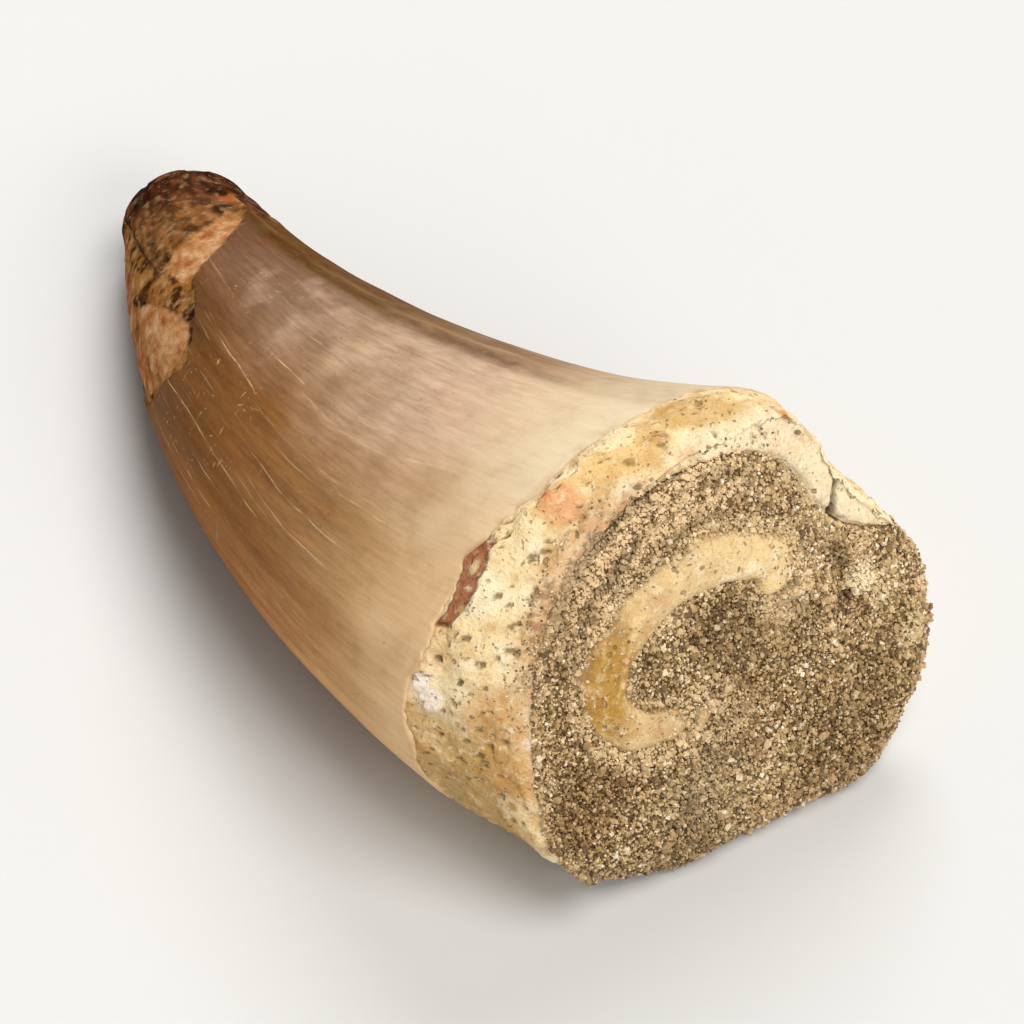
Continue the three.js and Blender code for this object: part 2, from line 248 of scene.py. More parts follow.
def gradient(value, stops):
    """Linear colours for values along (value, sRGB colour) stops."""
    places = [place for place, _ in stops]
    shades = np.array([linear(shade) for _, shade in stops])
    return np.stack([np.interp(value, places, shades[:, channel]) for channel in range(3)], axis=-1)


def layered(colour, *layers):
    """Colours of points: (colour, mask) layers laid over a first colour, as sRGB or as arrays of colours."""
    paint = linear(colour) if isinstance(colour, str) else colour
    for mark, mask in layers:
        mark = linear(mark) if isinstance(mark, str) else mark
        paint = lerp(paint, mark, np.clip(mask, 0, 1)[..., None])
    return paint


HASH = random.permutation(256)
GRADIENTS = unit(random.normal(size=(256, 3)))


def noise(points, size, seed=0.0):
    """Gradient noise at points in millimetres, about -1 to 1, with features of the given size."""
    scaled = np.asarray(points, float) / size + 31.7 * seed
    cell = np.floor(scaled).astype(int)
    inside = scaled - cell
    fade = inside ** 3 * (inside * (inside * 6 - 15) + 10)
    total = np.zeros(scaled.shape[:-1])
    for corner in product((0, 1), repeat=3):
        at = cell + corner
        mixed = HASH[(HASH[(HASH[at[..., 0] & 255] + at[..., 1]) & 255] + at[..., 2]) & 255]
        weight = np.where(corner, fade, 1 - fade).prod(axis=-1)
        total += weight * (GRADIENTS[mixed] * (inside - corner)).sum(axis=-1)
    return 1.6 * total


def rough_noise(points, size, octaves=3, seed=0.0):
    return sum(0.5 ** k * noise(points, size * 0.5 ** k, seed + k) for k in range(octaves))


def polar_outline(pairs):
    """Smooth closed outline through (degrees, radius) pairs: a function from angle to radius."""
    degrees, radii = (np.array(column, float) for column in zip(*pairs))
    knots = np.radians(np.concatenate([degrees[-1:] - 360, degrees, degrees[:2] + 360]))
    values = np.concatenate([radii[-1:], radii, radii[:2]])

    def radius(angle):
        angle = np.mod(angle, TURN)
        i = np.clip(np.searchsorted(knots, angle, side="right") - 1, 1, len(knots) - 3)
        step = knots[i + 1] - knots[i]
        p = (angle - knots[i]) / step
        before = step / 2 / (knots[i] - knots[i - 1])
        after = step / 2 / (knots[i + 2] - knots[i + 1])
        return (
            values[i - 1] * before * (-p ** 3 + 2 * p ** 2 - p)
            + values[i] * ((1 + before) * p ** 3 - (1.5 + 2 * before) * p ** 2 + (before - 0.5) * p + 1)
            + values[i + 1] * (-(1 + after) * p ** 3 + (1.5 + after) * p ** 2 + 0.5 * p)
            + values[i + 2] * after * (p ** 3 - p ** 2)
        )

    return radius


rim_radius = polar_outline(BREAK_RIM)
hollow_radius = polar_outline(HOLLOW_RIM)


def from_line(x, y, line):
    """Distance from points to an open line."""
    nearest = np.full(x.shape, np.inf)
    for (ax, ay), (bx, by) in zip(line[:-1], line[1:]):
        run, rise = bx - ax, by - ay
        along = np.clip(((x - ax) * run + (y - ay) * rise) / (run ** 2 + rise ** 2), 0, 1)
        nearest = np.minimum(nearest, np.hypot(x - ax - along * run, y - ay - along * rise))
    return nearest


def inside_outline(x, y, outline):
    """How far points lie inside a closed outline, negative outside it."""
    closed = np.vstack([outline, outline[:1]])
    within = np.zeros(x.shape, bool)
    for (ax, ay), (bx, by) in zip(closed[:-1], closed[1:]):
        cut = ax + (y - ay) / (by - ay if by != ay else 1e-9) * (bx - ax)
        within ^= ((ay > y) != (by > y)) & (x < cut)
    return np.where(within, 1, -1) * from_line(x, y, closed)


def inside_mark(x, y, mark, plane):
    """How far points of a plane of marks lie inside a mark's (share, degrees) outline, in millimetres."""
    return inside_outline(x, y, np.array(mark) * (plane[0], np.radians(plane[1])))


# --- The tooth's form ---


def crown_radius(s):
    flare = FLARE * np.maximum(1 - s / FLARE_END, 0) ** 2
    return BASE_RADIUS - TAPER * s + BELLY * np.sin(np.pi * s) + flare


def section(s):
    """Middle, side axis and up axis of the cross-section at the share s of the length."""
    s = np.asarray(s, float)
    heading = BASE_HEADING + BEND * s
    arc_radius = LENGTH / BEND
    swing = np.pi * np.cos(np.pi * s)
    slope = (FLATNESS * (BELLY * swing - TAPER) + ARCH * swing) / LENGTH
    middle = np.stack([
        -arc_radius * (np.sin(heading) - np.sin(BASE_HEADING)),
        -arc_radius * (np.cos(heading) - np.cos(BASE_HEADING)),
        FLATNESS * crown_radius(s) - SINK + ARCH * np.sin(np.pi * s),
    ], axis=-1)
    along = unit(np.stack([-np.cos(heading), np.sin(heading), slope], axis=-1))
    across = np.stack([np.sin(heading), np.cos(heading), np.zeros_like(s)], axis=-1)
    return middle, across, np.cross(across, along)


def crown_point(s, angle, lift):
    middle, across, up = section(s)
    rounding = np.sqrt(1 - np.clip((s - TIP_START) / (1 - TIP_START), 0, 1) ** 2)
    radius = (crown_radius(s) + lift) * rounding
    sideways, upwards = radius * np.cos(angle), FLATNESS * radius * np.sin(angle)
    return middle + sideways[..., None] * across + upwards[..., None] * up


BREAK_NORMAL = np.array([
    np.cos(BREAK_TILT) * np.cos(BREAK_SWING), np.cos(BREAK_TILT) * np.sin(BREAK_SWING), np.sin(BREAK_TILT),
])
BREAK_ACROSS = np.array([-np.sin(BREAK_SWING), np.cos(BREAK_SWING), 0.0])
BREAK_UP = np.cross(BREAK_NORMAL, BREAK_ACROSS)


def break_place(x, y, height):
    """Point over the break's plane, at x across it and y up it."""
    x, y, height = (part[..., None] for part in np.broadcast_arrays(x, y, height))
    return BREAK_CENTRE + x * BREAK_ACROSS + y * BREAK_UP + height * BREAK_NORMAL


def break_point(radius, angle, height=0.0):
    return break_place(radius * np.cos(angle), radius * np.sin(angle), height)


def on_break(points):
    """Places of points on the break's plane, across it and up it."""
    away = points - BREAK_CENTRE
    return away @ BREAK_ACROSS, away @ BREAK_UP


def enamel_edge(angle):
    """Ragged edge of the enamel, as a share of the length."""
    around = ring(angle, 15)
    ragged = 0.0075 * rough_noise(around, 3.4, 4, 2) + 0.002 * noise(around, 0.5, 5)
    return ENAMEL_EDGE + ENAMEL_SLANT * np.cos(angle - ENAMEL_SLANT_ANGLE) + ragged


def root_point(share, angle, lift=0.0):
    """Point of the band between the rim of the break (share 0) and the enamel's edge (share 1)."""
    rim = break_point(rim_radius(angle), angle)
    ledge = crown_point(enamel_edge(angle), angle, -ENAMEL_LEDGE)
    middle = lerp(BREAK_CENTRE, section(ENAMEL_EDGE)[0], share[..., None])
    point = lerp(rim, ledge, share[..., None])
    outward = unit(point - middle)
    bow = 4 * share * (1 - share)
    swell = ROOT_SWELL * (1 + np.cos(2 * (angle - ROOT_SWELL_ANGLE))) * bow
    lumps = 0.32 * noise(point, 3.6, 3) * np.sqrt(np.clip(bow, 0, 1))
    return point + (swell + lumps + lift)[..., None] * outward


def openness(angle):
    """How far the hollow's wall is missing, where the sand runs out to the side."""
    return smooth(np.cos(angle - SEDIMENT_OPEN_ANGLE), -0.15, 0.45)


def open_side(angle):
    return smooth(hollow_radius(angle) - rim_radius(angle), -0.2, 0.35)


def above_floor(points, floor=0.0):
    points = points.copy()
    points[..., 2] = np.maximum(points[..., 2], floor)
    return points


# --- Meshes ---


def add_object(name, data):
    made = bpy.data.objects.new(name, data)
    bpy.context.scene.collection.objects.link(made)
    return made


def mesh_piece(name, points, faces, node, material, fields, smooth_shaded=True):
    """Object from points in form millimetres, faces of equal size, and float, vector or colour fields."""
    mesh = bpy.data.meshes.new(name)
    points = points.reshape(-1, 3)
    mesh.vertices.add(len(points))
    mesh.vertices.foreach_set("co", ((points + FORM_ORIGIN) * MM).astype(np.float32).ravel())
    mesh.loops.add(faces.size)
    mesh.loops.foreach_set("vertex_index", faces.astype(np.int32).ravel())
    mesh.polygons.add(len(faces))
    mesh.polygons.foreach_set("loop_start", np.arange(0, faces.size, faces.shape[1], dtype=np.int32))
    mesh.polygons.foreach_set("use_smooth", np.full(len(faces), smooth_shaded))
    mesh.update(calc_edges=True)
    for key, values in fields.items():
        values = np.asarray(values, np.float32).reshape(len(points), -1)
        if values.shape[1] == 1:
            mesh.attributes.new(key, "FLOAT", "POINT").data.foreach_set("value", values.ravel())
        elif key == "flow":
            mesh.attributes.new(key, "FLOAT_VECTOR", "POINT").data.foreach_set("vector", values.ravel())
        else:
            opaque = np.insert(values, 3, 1, axis=1)
            mesh.attributes.new(key, "FLOAT_COLOR", "POINT").data.foreach_set("color", opaque.ravel())
    mesh.materials.append(material)
    piece = add_object(name, mesh)
    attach(piece, "root")
    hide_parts(node)
    return piece


def quads(rows, columns, closed=True):
    """Faces of a grid that can close on itself sideways, with outward normals for rows that run to -X."""
    row, column = grid(np.arange(rows - 1), np.arange(columns if closed else columns - 1))
    beside = (column + 1) % columns
    corners = [row * columns + column, (row + 1) * columns + column, (row + 1) * columns + beside,
               row * columns + beside]
    return np.stack([corner.ravel() for corner in corners], axis=1)


# --- Materials ---


class Signal:
    """The output of a node. Arithmetic on it adds nodes that work it out."""

    def __init__(self, shader, socket):
        self.shader = shader
        self.socket = socket

    def __add__(self, other):
        return self.shader.math("ADD", self, other)

    def __sub__(self, other):
        return self.shader.math("SUBTRACT", self, other)

    def __mul__(self, other):
        return self.shader.math("MULTIPLY", self, other)


class Shader:
    """A material's node tree, built by calls that take numbers, colours or other nodes' signals."""

    def __init__(self, name):
        self.material = bpy.data.materials.new(name)
        self.material.use_nodes = True
        self.tree = self.material.node_tree
        self.tree.nodes.clear()

    def node(self, kind, inputs, output=0, **settings):
        made = self.tree.nodes.new(kind)
        for key, value in settings.items():
            setattr(made, key, value)
        for key, value in inputs.items():
            if isinstance(value, Signal):
                self.tree.links.new(value.socket, made.inputs[key])
            else:
                made.inputs[key].default_value = value
        return Signal(self, made.outputs[output]) if made.outputs else None

    def field(self, name, output="Fac"):
        return self.node("ShaderNodeAttribute", {}, output, attribute_name=name)

    def place(self):
        """Position on the object in millimetres."""
        where = self.node("ShaderNodeTexCoord", {}, "Object")
        return self.node("ShaderNodeVectorMath", {0: where, "Scale": 1 / MM}, operation="SCALE")

    def stretch(self, vector, factors):
        return self.node("ShaderNodeVectorMath", {0: vector, 1: factors}, operation="MULTIPLY")

    def stirred(self, vector, scale, reach, start=None):
        """A vector pushed about by noise, so that what follows it loses its regular shape."""
        inputs = {"Vector": start or vector, "Scale": scale, "Detail": 2.0}
        push = self.node("ShaderNodeTexNoise", inputs, "Color")
        push = self.node("ShaderNodeVectorMath", {0: push, 1: (0.5, 0.5, 0.5)}, operation="SUBTRACT")
        push = self.node("ShaderNodeVectorMath", {0: push, "Scale": reach}, operation="SCALE")
        return self.node("ShaderNodeVectorMath", {0: vector, 1: push}, operation="ADD")

    def noise(self, vector, scale, detail=2.0, roughness=0.5, distortion=0.0):
        inputs = {"Vector": vector, "Scale": scale, "Detail": detail, "Roughness": roughness,
                  "Distortion": distortion}
        return self.node("ShaderNodeTexNoise", inputs)

    def cells(self, vector, scale):
        """Distance to the nearest of many scattered points."""
        return self.node("ShaderNodeTexVoronoi", {"Vector": vector, "Scale": scale}, feature="F1")

    def math(self, operation, a, b=0.0):
        return self.node("ShaderNodeMath", {0: a, 1: b}, operation=operation)

    def remap(self, value, low, high, start=0.0, end=1.0):
        inputs = {"Value": value, "From Min": low, "From Max": high, "To Min": start, "To Max": end}
        return self.node("ShaderNodeMapRange", inputs, interpolation_type="SMOOTHSTEP")

    def mix(self, share, a, b, blend="MIX"):
        inputs = {0: share, 6: a, 7: b}
        return self.node("ShaderNodeMix", inputs, 2, data_type="RGBA", blend_type=blend)

    def cover(self, colour, shade, share):
        return self.mix(share, colour, rgba(shade))

    def stain(self, colour, shade, share):
        """A colour darkened by a shade, as by a thin layer of it."""
        return self.mix(share, colour, rgba(shade), "MULTIPLY")

    def hairlines(self, flow, count, width, share, seed):
        """Thin lines that run along the tooth, each coming and going by chance."""
        x, y, z = (self.node("ShaderNodeSeparateXYZ", {0: flow}, axis) for axis in "XYZ")
        drift = self.noise(self.stretch(flow, (0.10, 0.10, 0.05)), 1.0, 1.0) * (count / 14)
        wobble = self.noise(self.stretch(flow, (0.3, 0.3, 0.42)), 1.0, 2.0) * (count / 170)
        turn = self.math("ARCTAN2", y, x) * (count / TURN) + drift + wobble
        number = self.math("FLOORED_MODULO", self.math("FLOOR", turn), float(count))
        luck = self.node("ShaderNodeTexWhiteNoise", {"W": number + seed}, noise_dimensions="1D")
        away = self.math("ABSOLUTE", self.math("FRACT", turn) - (luck * 0.6 + 0.2))
        along = {"X": number * 7.31, "Y": z * 0.11, "Z": seed}
        shown = self.noise(self.node("ShaderNodeCombineXYZ", along), 1.0, 2.0, 0.6)
        shown = self.remap(shown, 0.66 - 0.36 * share, 0.76 - 0.36 * share)
        broken = self.remap(self.noise(self.stretch(flow, (1.5, 1.5, 0.9)), 1.0, 2.0), 0.36, 0.60, 0.15, 1.0)
        return self.remap(away, width, 0.25 * width) * (shown * broken)

    def finish(self, **inputs):
        """The material, with a Principled shader that takes these inputs."""
        named = {key.replace("_", " "): value for key, value in inputs.items()}
        self.node("ShaderNodeOutputMaterial", {"Surface": self.node("ShaderNodeBsdfPrincipled", named)})
        return self.material

    def bump(self, height, distance):
        return self.node("ShaderNodeBump", {"Height": height, "Distance": distance * MM, "Strength": 1.0})


def rgba(hex_colour):
    return (*linear(hex_colour), 1.0)


def enamel_material():
    """Worn enamel over dentine: hairlines and a grain that run to the tip, ripples, pits and scratches."""
    m = Shader("worn_enamel")
    flow, place = m.field("flow", "Vector"), m.place()
    worn, grained, matt = m.field("worn"), m.field("grained"), m.field("matt")
    colour = m.field("paint", "Color")
    long_grain = m.noise(m.stretch(flow, (1.9, 1.9, 0.10)), 1.0, 3.0, 0.6)
    colour = m.stain(colour, "c4ab86", m.remap(long_grain, 0.38, 0.68, 0.0, 0.34) * grained)
    short_grain = m.noise(m.stretch(m.stirred(flow, 0.5, 0.3), (4.6, 4.6, 0.6)), 1.0, 3.0, 0.62)
    whole = m.remap(worn, 0.6, 0.1) * grained
    colour = m.stain(colour, "a98d6c", m.remap(short_grain, 0.44, 0.70, 0.0, 0.34) * whole)
    paler = m.remap(short_grain, 0.50, 0.30, 0.0, 0.55) * whole
    colour = m.mix(paler, colour, (1.3, 1.24, 1.16, 1), "MULTIPLY")
    cloud = m.noise(place, 0.42, 4.0, 0.62)
    colour = m.stain(colour, "b79a78", m.remap(cloud, 0.46, 0.78, 0.0, 0.26))
    fine_hair = m.hairlines(flow, 90, 0.09, 0.3, 41.0) * 0.4
    hair = m.math("MAXIMUM", m.hairlines(flow, 44, 0.05, 0.46, 3.0), fine_hair)
    hair = hair * (m.remap(worn, 0.6, 0.3) * m.field("hairs"))
    colour = m.cover(colour, "e6c99c", hair * 0.58)
    ripple = m.noise(m.stretch(flow, (0.35, 0.35, 2.6)), 1.0, 2.0, 0.5, 0.6)
    pits = m.remap(m.cells(place, 1.1), 0.10, 0.04) * m.remap(m.noise(place, 0.4), 0.48, 0.58)
    nicks = m.cells(m.stirred(m.stretch(place, (0.9, 1.6, 1.6)), 1.4, 1.1, place), 1.15)
    nicks = m.remap(nicks, 0.13, 0.07)
    for factors in ((4.2, 0.7, 0.7), (0.8, 4.4, 0.8), (1.6, 1.3, 4.4)):
        scratch = m.noise(m.stirred(m.stretch(place, factors), 0.5, 1.2, place), 1.0)
        nicks = m.math("MAXIMUM", nicks, m.remap(scratch, 0.675, 0.73))
    nicks = nicks * m.field("nicked")
    colour = m.cover(colour, "d8ba92", nicks * 0.5)
    colour = m.cover(colour, "5a3a20", pits * 0.45)
    grit = m.noise(place, 3.0, 4.0, 0.68)
    dentine = m.stain(colour, "a57c55", m.remap(grit, 0.35, 0.65, 0.0, 0.5))
    dentine = m.cover(dentine, "e6bb8a", m.remap(m.noise(place, 1.5, 3.0, 0.6), 0.5, 0.7, 0.0, 0.35))
    height = long_grain * 0.55 + ripple * 0.25 + short_grain * 0.22
    height = height - (pits + hair + nicks) * 0.22 + grit * worn * 1.5
    gloss = m.remap(matt, 0.28, 0.0, 0.02, 0.26) * m.remap(cloud, 0.35, 0.6, 0.55, 1.0)
    return m.finish(
        Base_Color=m.mix(worn, colour, dentine), Normal=m.bump(height, 0.09), Specular_IOR_Level=0.0, IOR=1.5,
        Roughness=m.remap(m.noise(place, 1.4, 3.0, 0.6), 0.3, 0.7, 0.40, 0.52) + matt,
        Coat_Weight=gloss, Coat_Roughness=0.27, Coat_IOR=1.5,
    )


def bone_material():
    """Porous root bone: dark pores of many sizes, chalky blotches, brown specks and a crumbly grain."""
    m = Shader("root_bone")
    place = m.place()
    loose = m.stirred(place, 0.9, 1.0)
    blotch = m.noise(place, 0.6, 4.0, 0.66)
    colour = m.stain(m.field("paint", "Color"), "e0b878", m.remap(blotch, 0.48, 0.76, 0.0, 0.55))
    chalk = m.noise(loose, 1.5, 4.0, 0.65)
    colour = m.cover(colour, "fdeecb", m.remap(chalk, 0.52, 0.70, 0.0, 0.5))
    crumb = m.noise(place, 4.2, 4.0, 0.7)
    colour = m.stain(colour, "bd945a", m.remap(crumb, 0.52, 0.70, 0.0, 0.4))
    large = m.remap(m.cells(loose, 1.15), 0.22, 0.12) * m.remap(m.noise(place, 0.55), 0.44, 0.60)
    small = m.remap(m.cells(loose, 2.9), 0.26, 0.12) * m.remap(m.noise(place, 0.9), 0.45, 0.6)
    pores = m.math("MAXIMUM", large, small * 0.75)
    colour = m.cover(colour, "80643a", pores * 0.7)
    colour = m.cover(colour, "9a7b4c", m.remap(m.cells(place, 5.0), 0.17, 0.08) * 0.4)
    height = chalk * 0.8 + crumb * 0.7 - pores * 0.7
    return m.finish(
        Base_Color=colour, Roughness=m.remap(blotch, 0.3, 0.7, 0.58, 0.8), Normal=m.bump(height, 0.24),
        Specular_IOR_Level=0.3,
    )


def sand_bed_material():
    """Fine matrix between the sand grains, over the bed's own painted shade."""
    m = Shader("sand_bed")
    grain = m.noise(m.place(), 4.0, 4.0, 0.75)
    colour = m.stain(m.field("paint", "Color"), "8a7656", m.remap(grain, 0.62, 0.42))
    return m.finish(Base_Color=colour, Roughness=0.88, Normal=m.bump(grain, 0.3), Specular_IOR_Level=0.2)


def grain_material():
    """Sand grains in their own painted shades, finely speckled, the pale ones smoother."""
    m = Shader("sand_grains")
    speck = m.noise(m.place(), 8.0, 2.0, 0.6)
    colour = m.stain(m.field("paint", "Color"), "a08a68", m.remap(speck, 0.4, 0.7, 0.0, 0.35))
    return m.finish(Base_Color=colour, Roughness=m.field("dull"), Specular_IOR_Level=0.45)


ENAMEL = enamel_material()
BONE = bone_material()
SAND_BED = sand_bed_material()
GRAINS = grain_material()


# --- Crown ---


def crown_grid():
    """Shares and angles of the crown's points, in rows from its edge to the tip, closer past the middle."""
    angle = np.linspace(0, TURN, CROWN_COLUMNS, endpoint=False)[None]
    edge = enamel_edge(angle)
    fine = np.linspace(0, 1, 400)
    density = 1 + 1.1 * smooth(fine, 0.5, 0.58)
    spread = np.interp(np.linspace(0, 1, CROWN_ROWS), np.cumsum(density) / density.sum(), fine)
    spread[0] = 0
    body = lerp(edge, TIP_START, spread[:, None])
    cap = TIP_START + (1 - TIP_START) * np.sin(np.linspace(0, np.pi / 2, TIP_ROWS + 1)[1:])
    s = np.vstack([edge - 0.002, edge - 0.0005, body, cap[:, None] + 0 * edge])
    return s, angle + 0 * s


def crown_places():
    """What shape and paint both go by: the crown's points before wear, its regions and its worn places."""
    s, angle = crown_grid()
    base = crown_point(s, angle, 0.0)
    x, y = s * CROWN_PLANE[0], np.where(angle < np.radians(30), angle + TURN, angle) * CROWN_PLANE[1]
    ragged = 0.22 * rough_noise(base, 1.1, 3, 11)
    flake = inside_mark(x, y, FLAKE, CROWN_PLANE) + ragged
    patches = [inside_mark(x, y, patch, CROWN_PLANE) for patch in DENTINE_PATCHES]
    cloud = rough_noise(base, 7.0, 3, 41)
    around = ring(angle, 2.6, 1.4 * s)
    streak = noise(around, 0.55, 42) + 0.5 * noise(around, 0.24, 43)
    turned = np.degrees(np.mod(angle - np.radians(20), TURN)) + 20 + 7 * streak + 5 * cloud
    signed = np.degrees(np.mod(angle + np.pi, TURN)) - 180
    return SimpleNamespace(
        s=s, angle=angle, base=base, flow=ring(angle, 9, s * LENGTH),
        flake=flake, chipped=smooth(flake, -0.08, 0.12),
        cap=inside_mark(x, y, TIP_CAP, CROWN_PLANE) + 0.5 * ragged,
        patches=np.max(patches, axis=0) + 0.28 * rough_noise(base, 0.9, 3, 21), left_patch=patches[2],
        spot=inside_mark(x, y, ORANGE_SPOT, CROWN_PLANE) + 0.12 * rough_noise(base, 0.6, 2, 31),
        fade=smooth(s, 0.2, 0.35) * (1 - smooth(s, 0.84, 0.93)), cloud=cloud, streak=streak, turned=turned,
        flank=smooth(turned - 92 - 26 * (0.6 - s), 0, 34) * (1 - 0.45 * smooth(turned, 225, 275)),
        signed=signed, concave=smooth(signed + 8 * streak, -48, 20) * smooth(signed, 75, 70),
    )


def crown_lift(at):
    """Height over the crown's plain form: cutting edges, facets, chips and the rough broken cap."""
    s, angle, base, cap = at.s, at.angle, at.base, at.cap
    away = [np.arctan2(np.sin(angle - middle), np.cos(angle - middle)) for middle in CARINA_ANGLES]
    carina = sum(np.exp(-((turn / CARINA_SPREAD) ** 2)) for turn in away)
    lift = CARINA_HEIGHT * at.fade * carina * (1 - 0.5 * smooth(noise(at.flow, 1.3, 7), 0.35, 0.7))
    lift += 0.10 * noise(ring(angle, 1.7, 1.1 * s), 0.62, 4) * smooth(s, 0.17, 0.3) * smooth(s, 0.95, 0.9)
    lift += 0.05 * noise(base, 4.0, 6)
    depth = 0.24 + 0.05 * rough_noise(base, 0.8, 3, 12) + 0.07 * smooth(at.patches, -0.05, 0.15)
    lift -= at.chipped * depth
    lift -= 0.12 * smooth(s, 0.9, 0.97) * smooth(rough_noise(base, 1.6, 3, 13), 0.0, 0.6)
    lift -= 0.10 * smooth(cap, 0.25, 0.0) * smooth(cap, -0.3, 0.0) * (1 - at.chipped)
    lift += 0.16 * smooth(cap, -0.1, 0.5) * (np.abs(noise(base, 2.2, 14)) - 0.3)
    lift[0] = -ENAMEL_LEDGE - 0.15
    lift[1] = -ENAMEL_LEDGE
    lift[2] -= 0.05
    return lift


def crown_paint(at):
    """Colours of the crown: its enamel, the dark cap, the flake's floor and the bare patches on it, with
    painted shade, shadows, a highlight, sheen and underside light laid into them.
    """
    s, angle, base, flow, cap, flank = at.s, at.angle, at.base, at.flow, at.cap, at.flank
    mottle = rough_noise(base, 1.3, 3, 51)
    patchy = rough_noise(base, 2.6, 4, 52)
    along = s + 0.03 * at.cloud + lerp(0.022, 0.05, flank) * smooth(s, 0.12, 0.42) * at.streak
    # Painted shade: a darker band along the flank's shoulder.
    painted_shoulder_shade = np.exp(-((at.turned - 128) / 15) ** 2) * smooth(s, 0.74, 0.66) * smooth(s, 0.16, 0.24)
    # Painted light: the lower flank, which faces the floor, made lighter as by light from below.
    painted_underside_light = smooth(at.turned, 160, 184) * smooth(at.turned, 275, 225) * smooth(s, 0.24, 0.34)
    grain = noise(flow * (0.8, 0.8, 0.11), 1.0, 55) + 0.6 * noise(flow * (1.7, 1.7, 0.2), 1.0, 56)
    grain = grain * lerp(0.3, 1.0, flank) * smooth(s, 0.26, 0.45)
    brightness = (1 - 0.2 * painted_shoulder_shade) * (1 + 0.28 * painted_underside_light) * (1 + 0.24 * grain)
    shades = lerp(gradient(along, TOP_SHADES_AND_SHEEN), gradient(along, FLANK_SHADES), flank[..., None])
    on_top = (1 - flank) * smooth(s, 0.20, 0.28)
    dark_streaks = flank * smooth(at.turned, 200, 150) * smooth(at.streak, 0.1, 0.7)
    # Painted shade: the concave side beyond the cutting edge made darker, more so towards the tip.
    painted_hollow_shade = lerp(0.85, 0.6, smooth(at.streak, -0.5, 0.5)) * at.concave
    painted_hollow_shade = painted_hollow_shade * np.interp(s, *zip(*HOLLOW_SIDE_PAINTED_SHADE))
    # A painted shadow along the cutting edge's crest, and a painted highlight on the concave side beside it.
    painted_crest_shadow = np.exp(-((at.signed - 69.5 - 1.2 * noise(base, 3.0, 48)) / 1.5) ** 2) * at.fade
    painted_crest_highlight = np.exp(-((at.signed - 63) / 4.0) ** 2) * at.fade
    enamel = layered(
        shades * brightness[..., None],
        # Pale pinkish patches on the top: partly mottling, partly painted sheen.
        ("d2b39c", 0.30 * on_top * smooth(patchy, -0.1, 0.7) * smooth(s, 0.78, 0.6)),
        ("7d5c40", 0.26 * on_top * smooth(patchy, 0.05, -0.6) * smooth(s, 0.3, 0.45)),
        ("4a2a0e", 0.40 * dark_streaks * smooth(s, 0.32, 0.45)),
        ("5e3b16", painted_hollow_shade),
        ("6d6230", 0.26 * at.concave * smooth(mottle, 0.0, 0.5) * smooth(s, 0.35, 0.5)),
        ("4c3116", 0.42 * painted_crest_shadow * smooth(noise(base, 2.2, 49), -0.6, 0.2)),
        ("c79d6b", 0.32 * painted_crest_highlight * smooth(noise(base, 5.0, 44), -0.5, 0.2)),
    )
    blotch = patchy + 0.5 * mottle
    olive = smooth(noise(flow * (0.9, 0.9, 0.35), 1.0, 47) + 0.5 * mottle, -0.1, 0.45)
    speckle = noise(flow * (1.5, 1.5, 0.6), 1.0, 53) + 0.7 * noise(base, 0.55, 54)
    cap_colour = layered(
        gradient(along, CAP_SHADES),
        ("200d05", 0.72 * smooth(blotch, 0.0, 0.6)),
        ("85532f", 0.5 * smooth(blotch, -0.15, -0.8)),
        ("86703c", 0.75 * olive * facing(angle, 165, 0.80, 0.97) * smooth(s, 0.97, 0.90)),
    ) * lerp(0.62, 1.4, smooth(speckle, -0.6, 0.6))[..., None]
    flake_floor = layered(
        "9c6a34",
        ("ac7f48", smooth(mottle, 0.0, 0.5)),
        ("4a2a10", smooth(mottle, -0.1, -0.5)),
        ("2f180a", 0.8 * smooth(patchy, 0.25, 0.6)),
    )
    dentine = layered(
        "c48f5e",
        ("a86b3c", smooth(mottle, 0.0, 0.6)),
        ("d8ad80", smooth(mottle, 0.0, -0.6)),
        ("ae5f2e", 0.85 * smooth(at.left_patch, -0.3, 0.2) * smooth(patchy, 0.6, -0.2)),
        ("7c4a24", 0.7 * smooth(at.left_patch, -0.3, 0.3) * smooth(patchy + 0.4 * mottle, 0.2, 0.6)),
    )
    flake_rim = smooth(at.flake, -0.16, -0.04) * smooth(at.flake, 0.10, 0.0)
    near_edge = smooth((s - enamel_edge(angle[:1])) * LENGTH, 0.5, 0.0)
    return layered(
        enamel,
        (cap_colour, smooth(cap, -0.3, 0.12)),
        # Painted shadow: a dark line in the groove along the cap's edge.
        ("170a04", 0.55 * smooth(cap, 0.25, -0.02) * smooth(cap, -0.12, 0.02)),
        (flake_floor, at.chipped),
        (dentine, smooth(at.patches, -0.10, 0.14) * smooth(at.flake, -0.3, 0.0)),
        ("b5673a", 0.8 * smooth(at.spot, -0.2, 0.2) * smooth(mottle, 0.5, -0.3)),
        ("3a1f0d", 0.5 * flake_rim * smooth(patchy, -0.4, 0.2)),
        ("a67a48", 0.35 * near_edge * smooth(noise(base, 1.1, 45), -0.1, 0.4)),
    )


def nicked_places(at, on_crown):
    """Where scratches and nicks show, from 0 to 1."""
    s, angle = at.s, at.angle
    return smooth(noise(at.base, 2.0, 46), -0.4, 0.2) * np.max([
        facing(angle, 150, 0.68, 0.94) * smooth(s, 0.40, 0.54) * smooth(s, 0.69, 0.63),
        0.8 * facing(angle, 94, 0.94, 0.99) * smooth(s, 0.56, 0.62) * smooth(s, 0.70, 0.66),
        0.22 * on_crown * facing(angle, 110, 0.2, 0.6),
        0.3 * smooth(s, 0.36, 0.28),
        0.5 * smooth(at.cap, 0.0, 0.4) * smooth(s, 0.99, 0.96),
    ], axis=0)


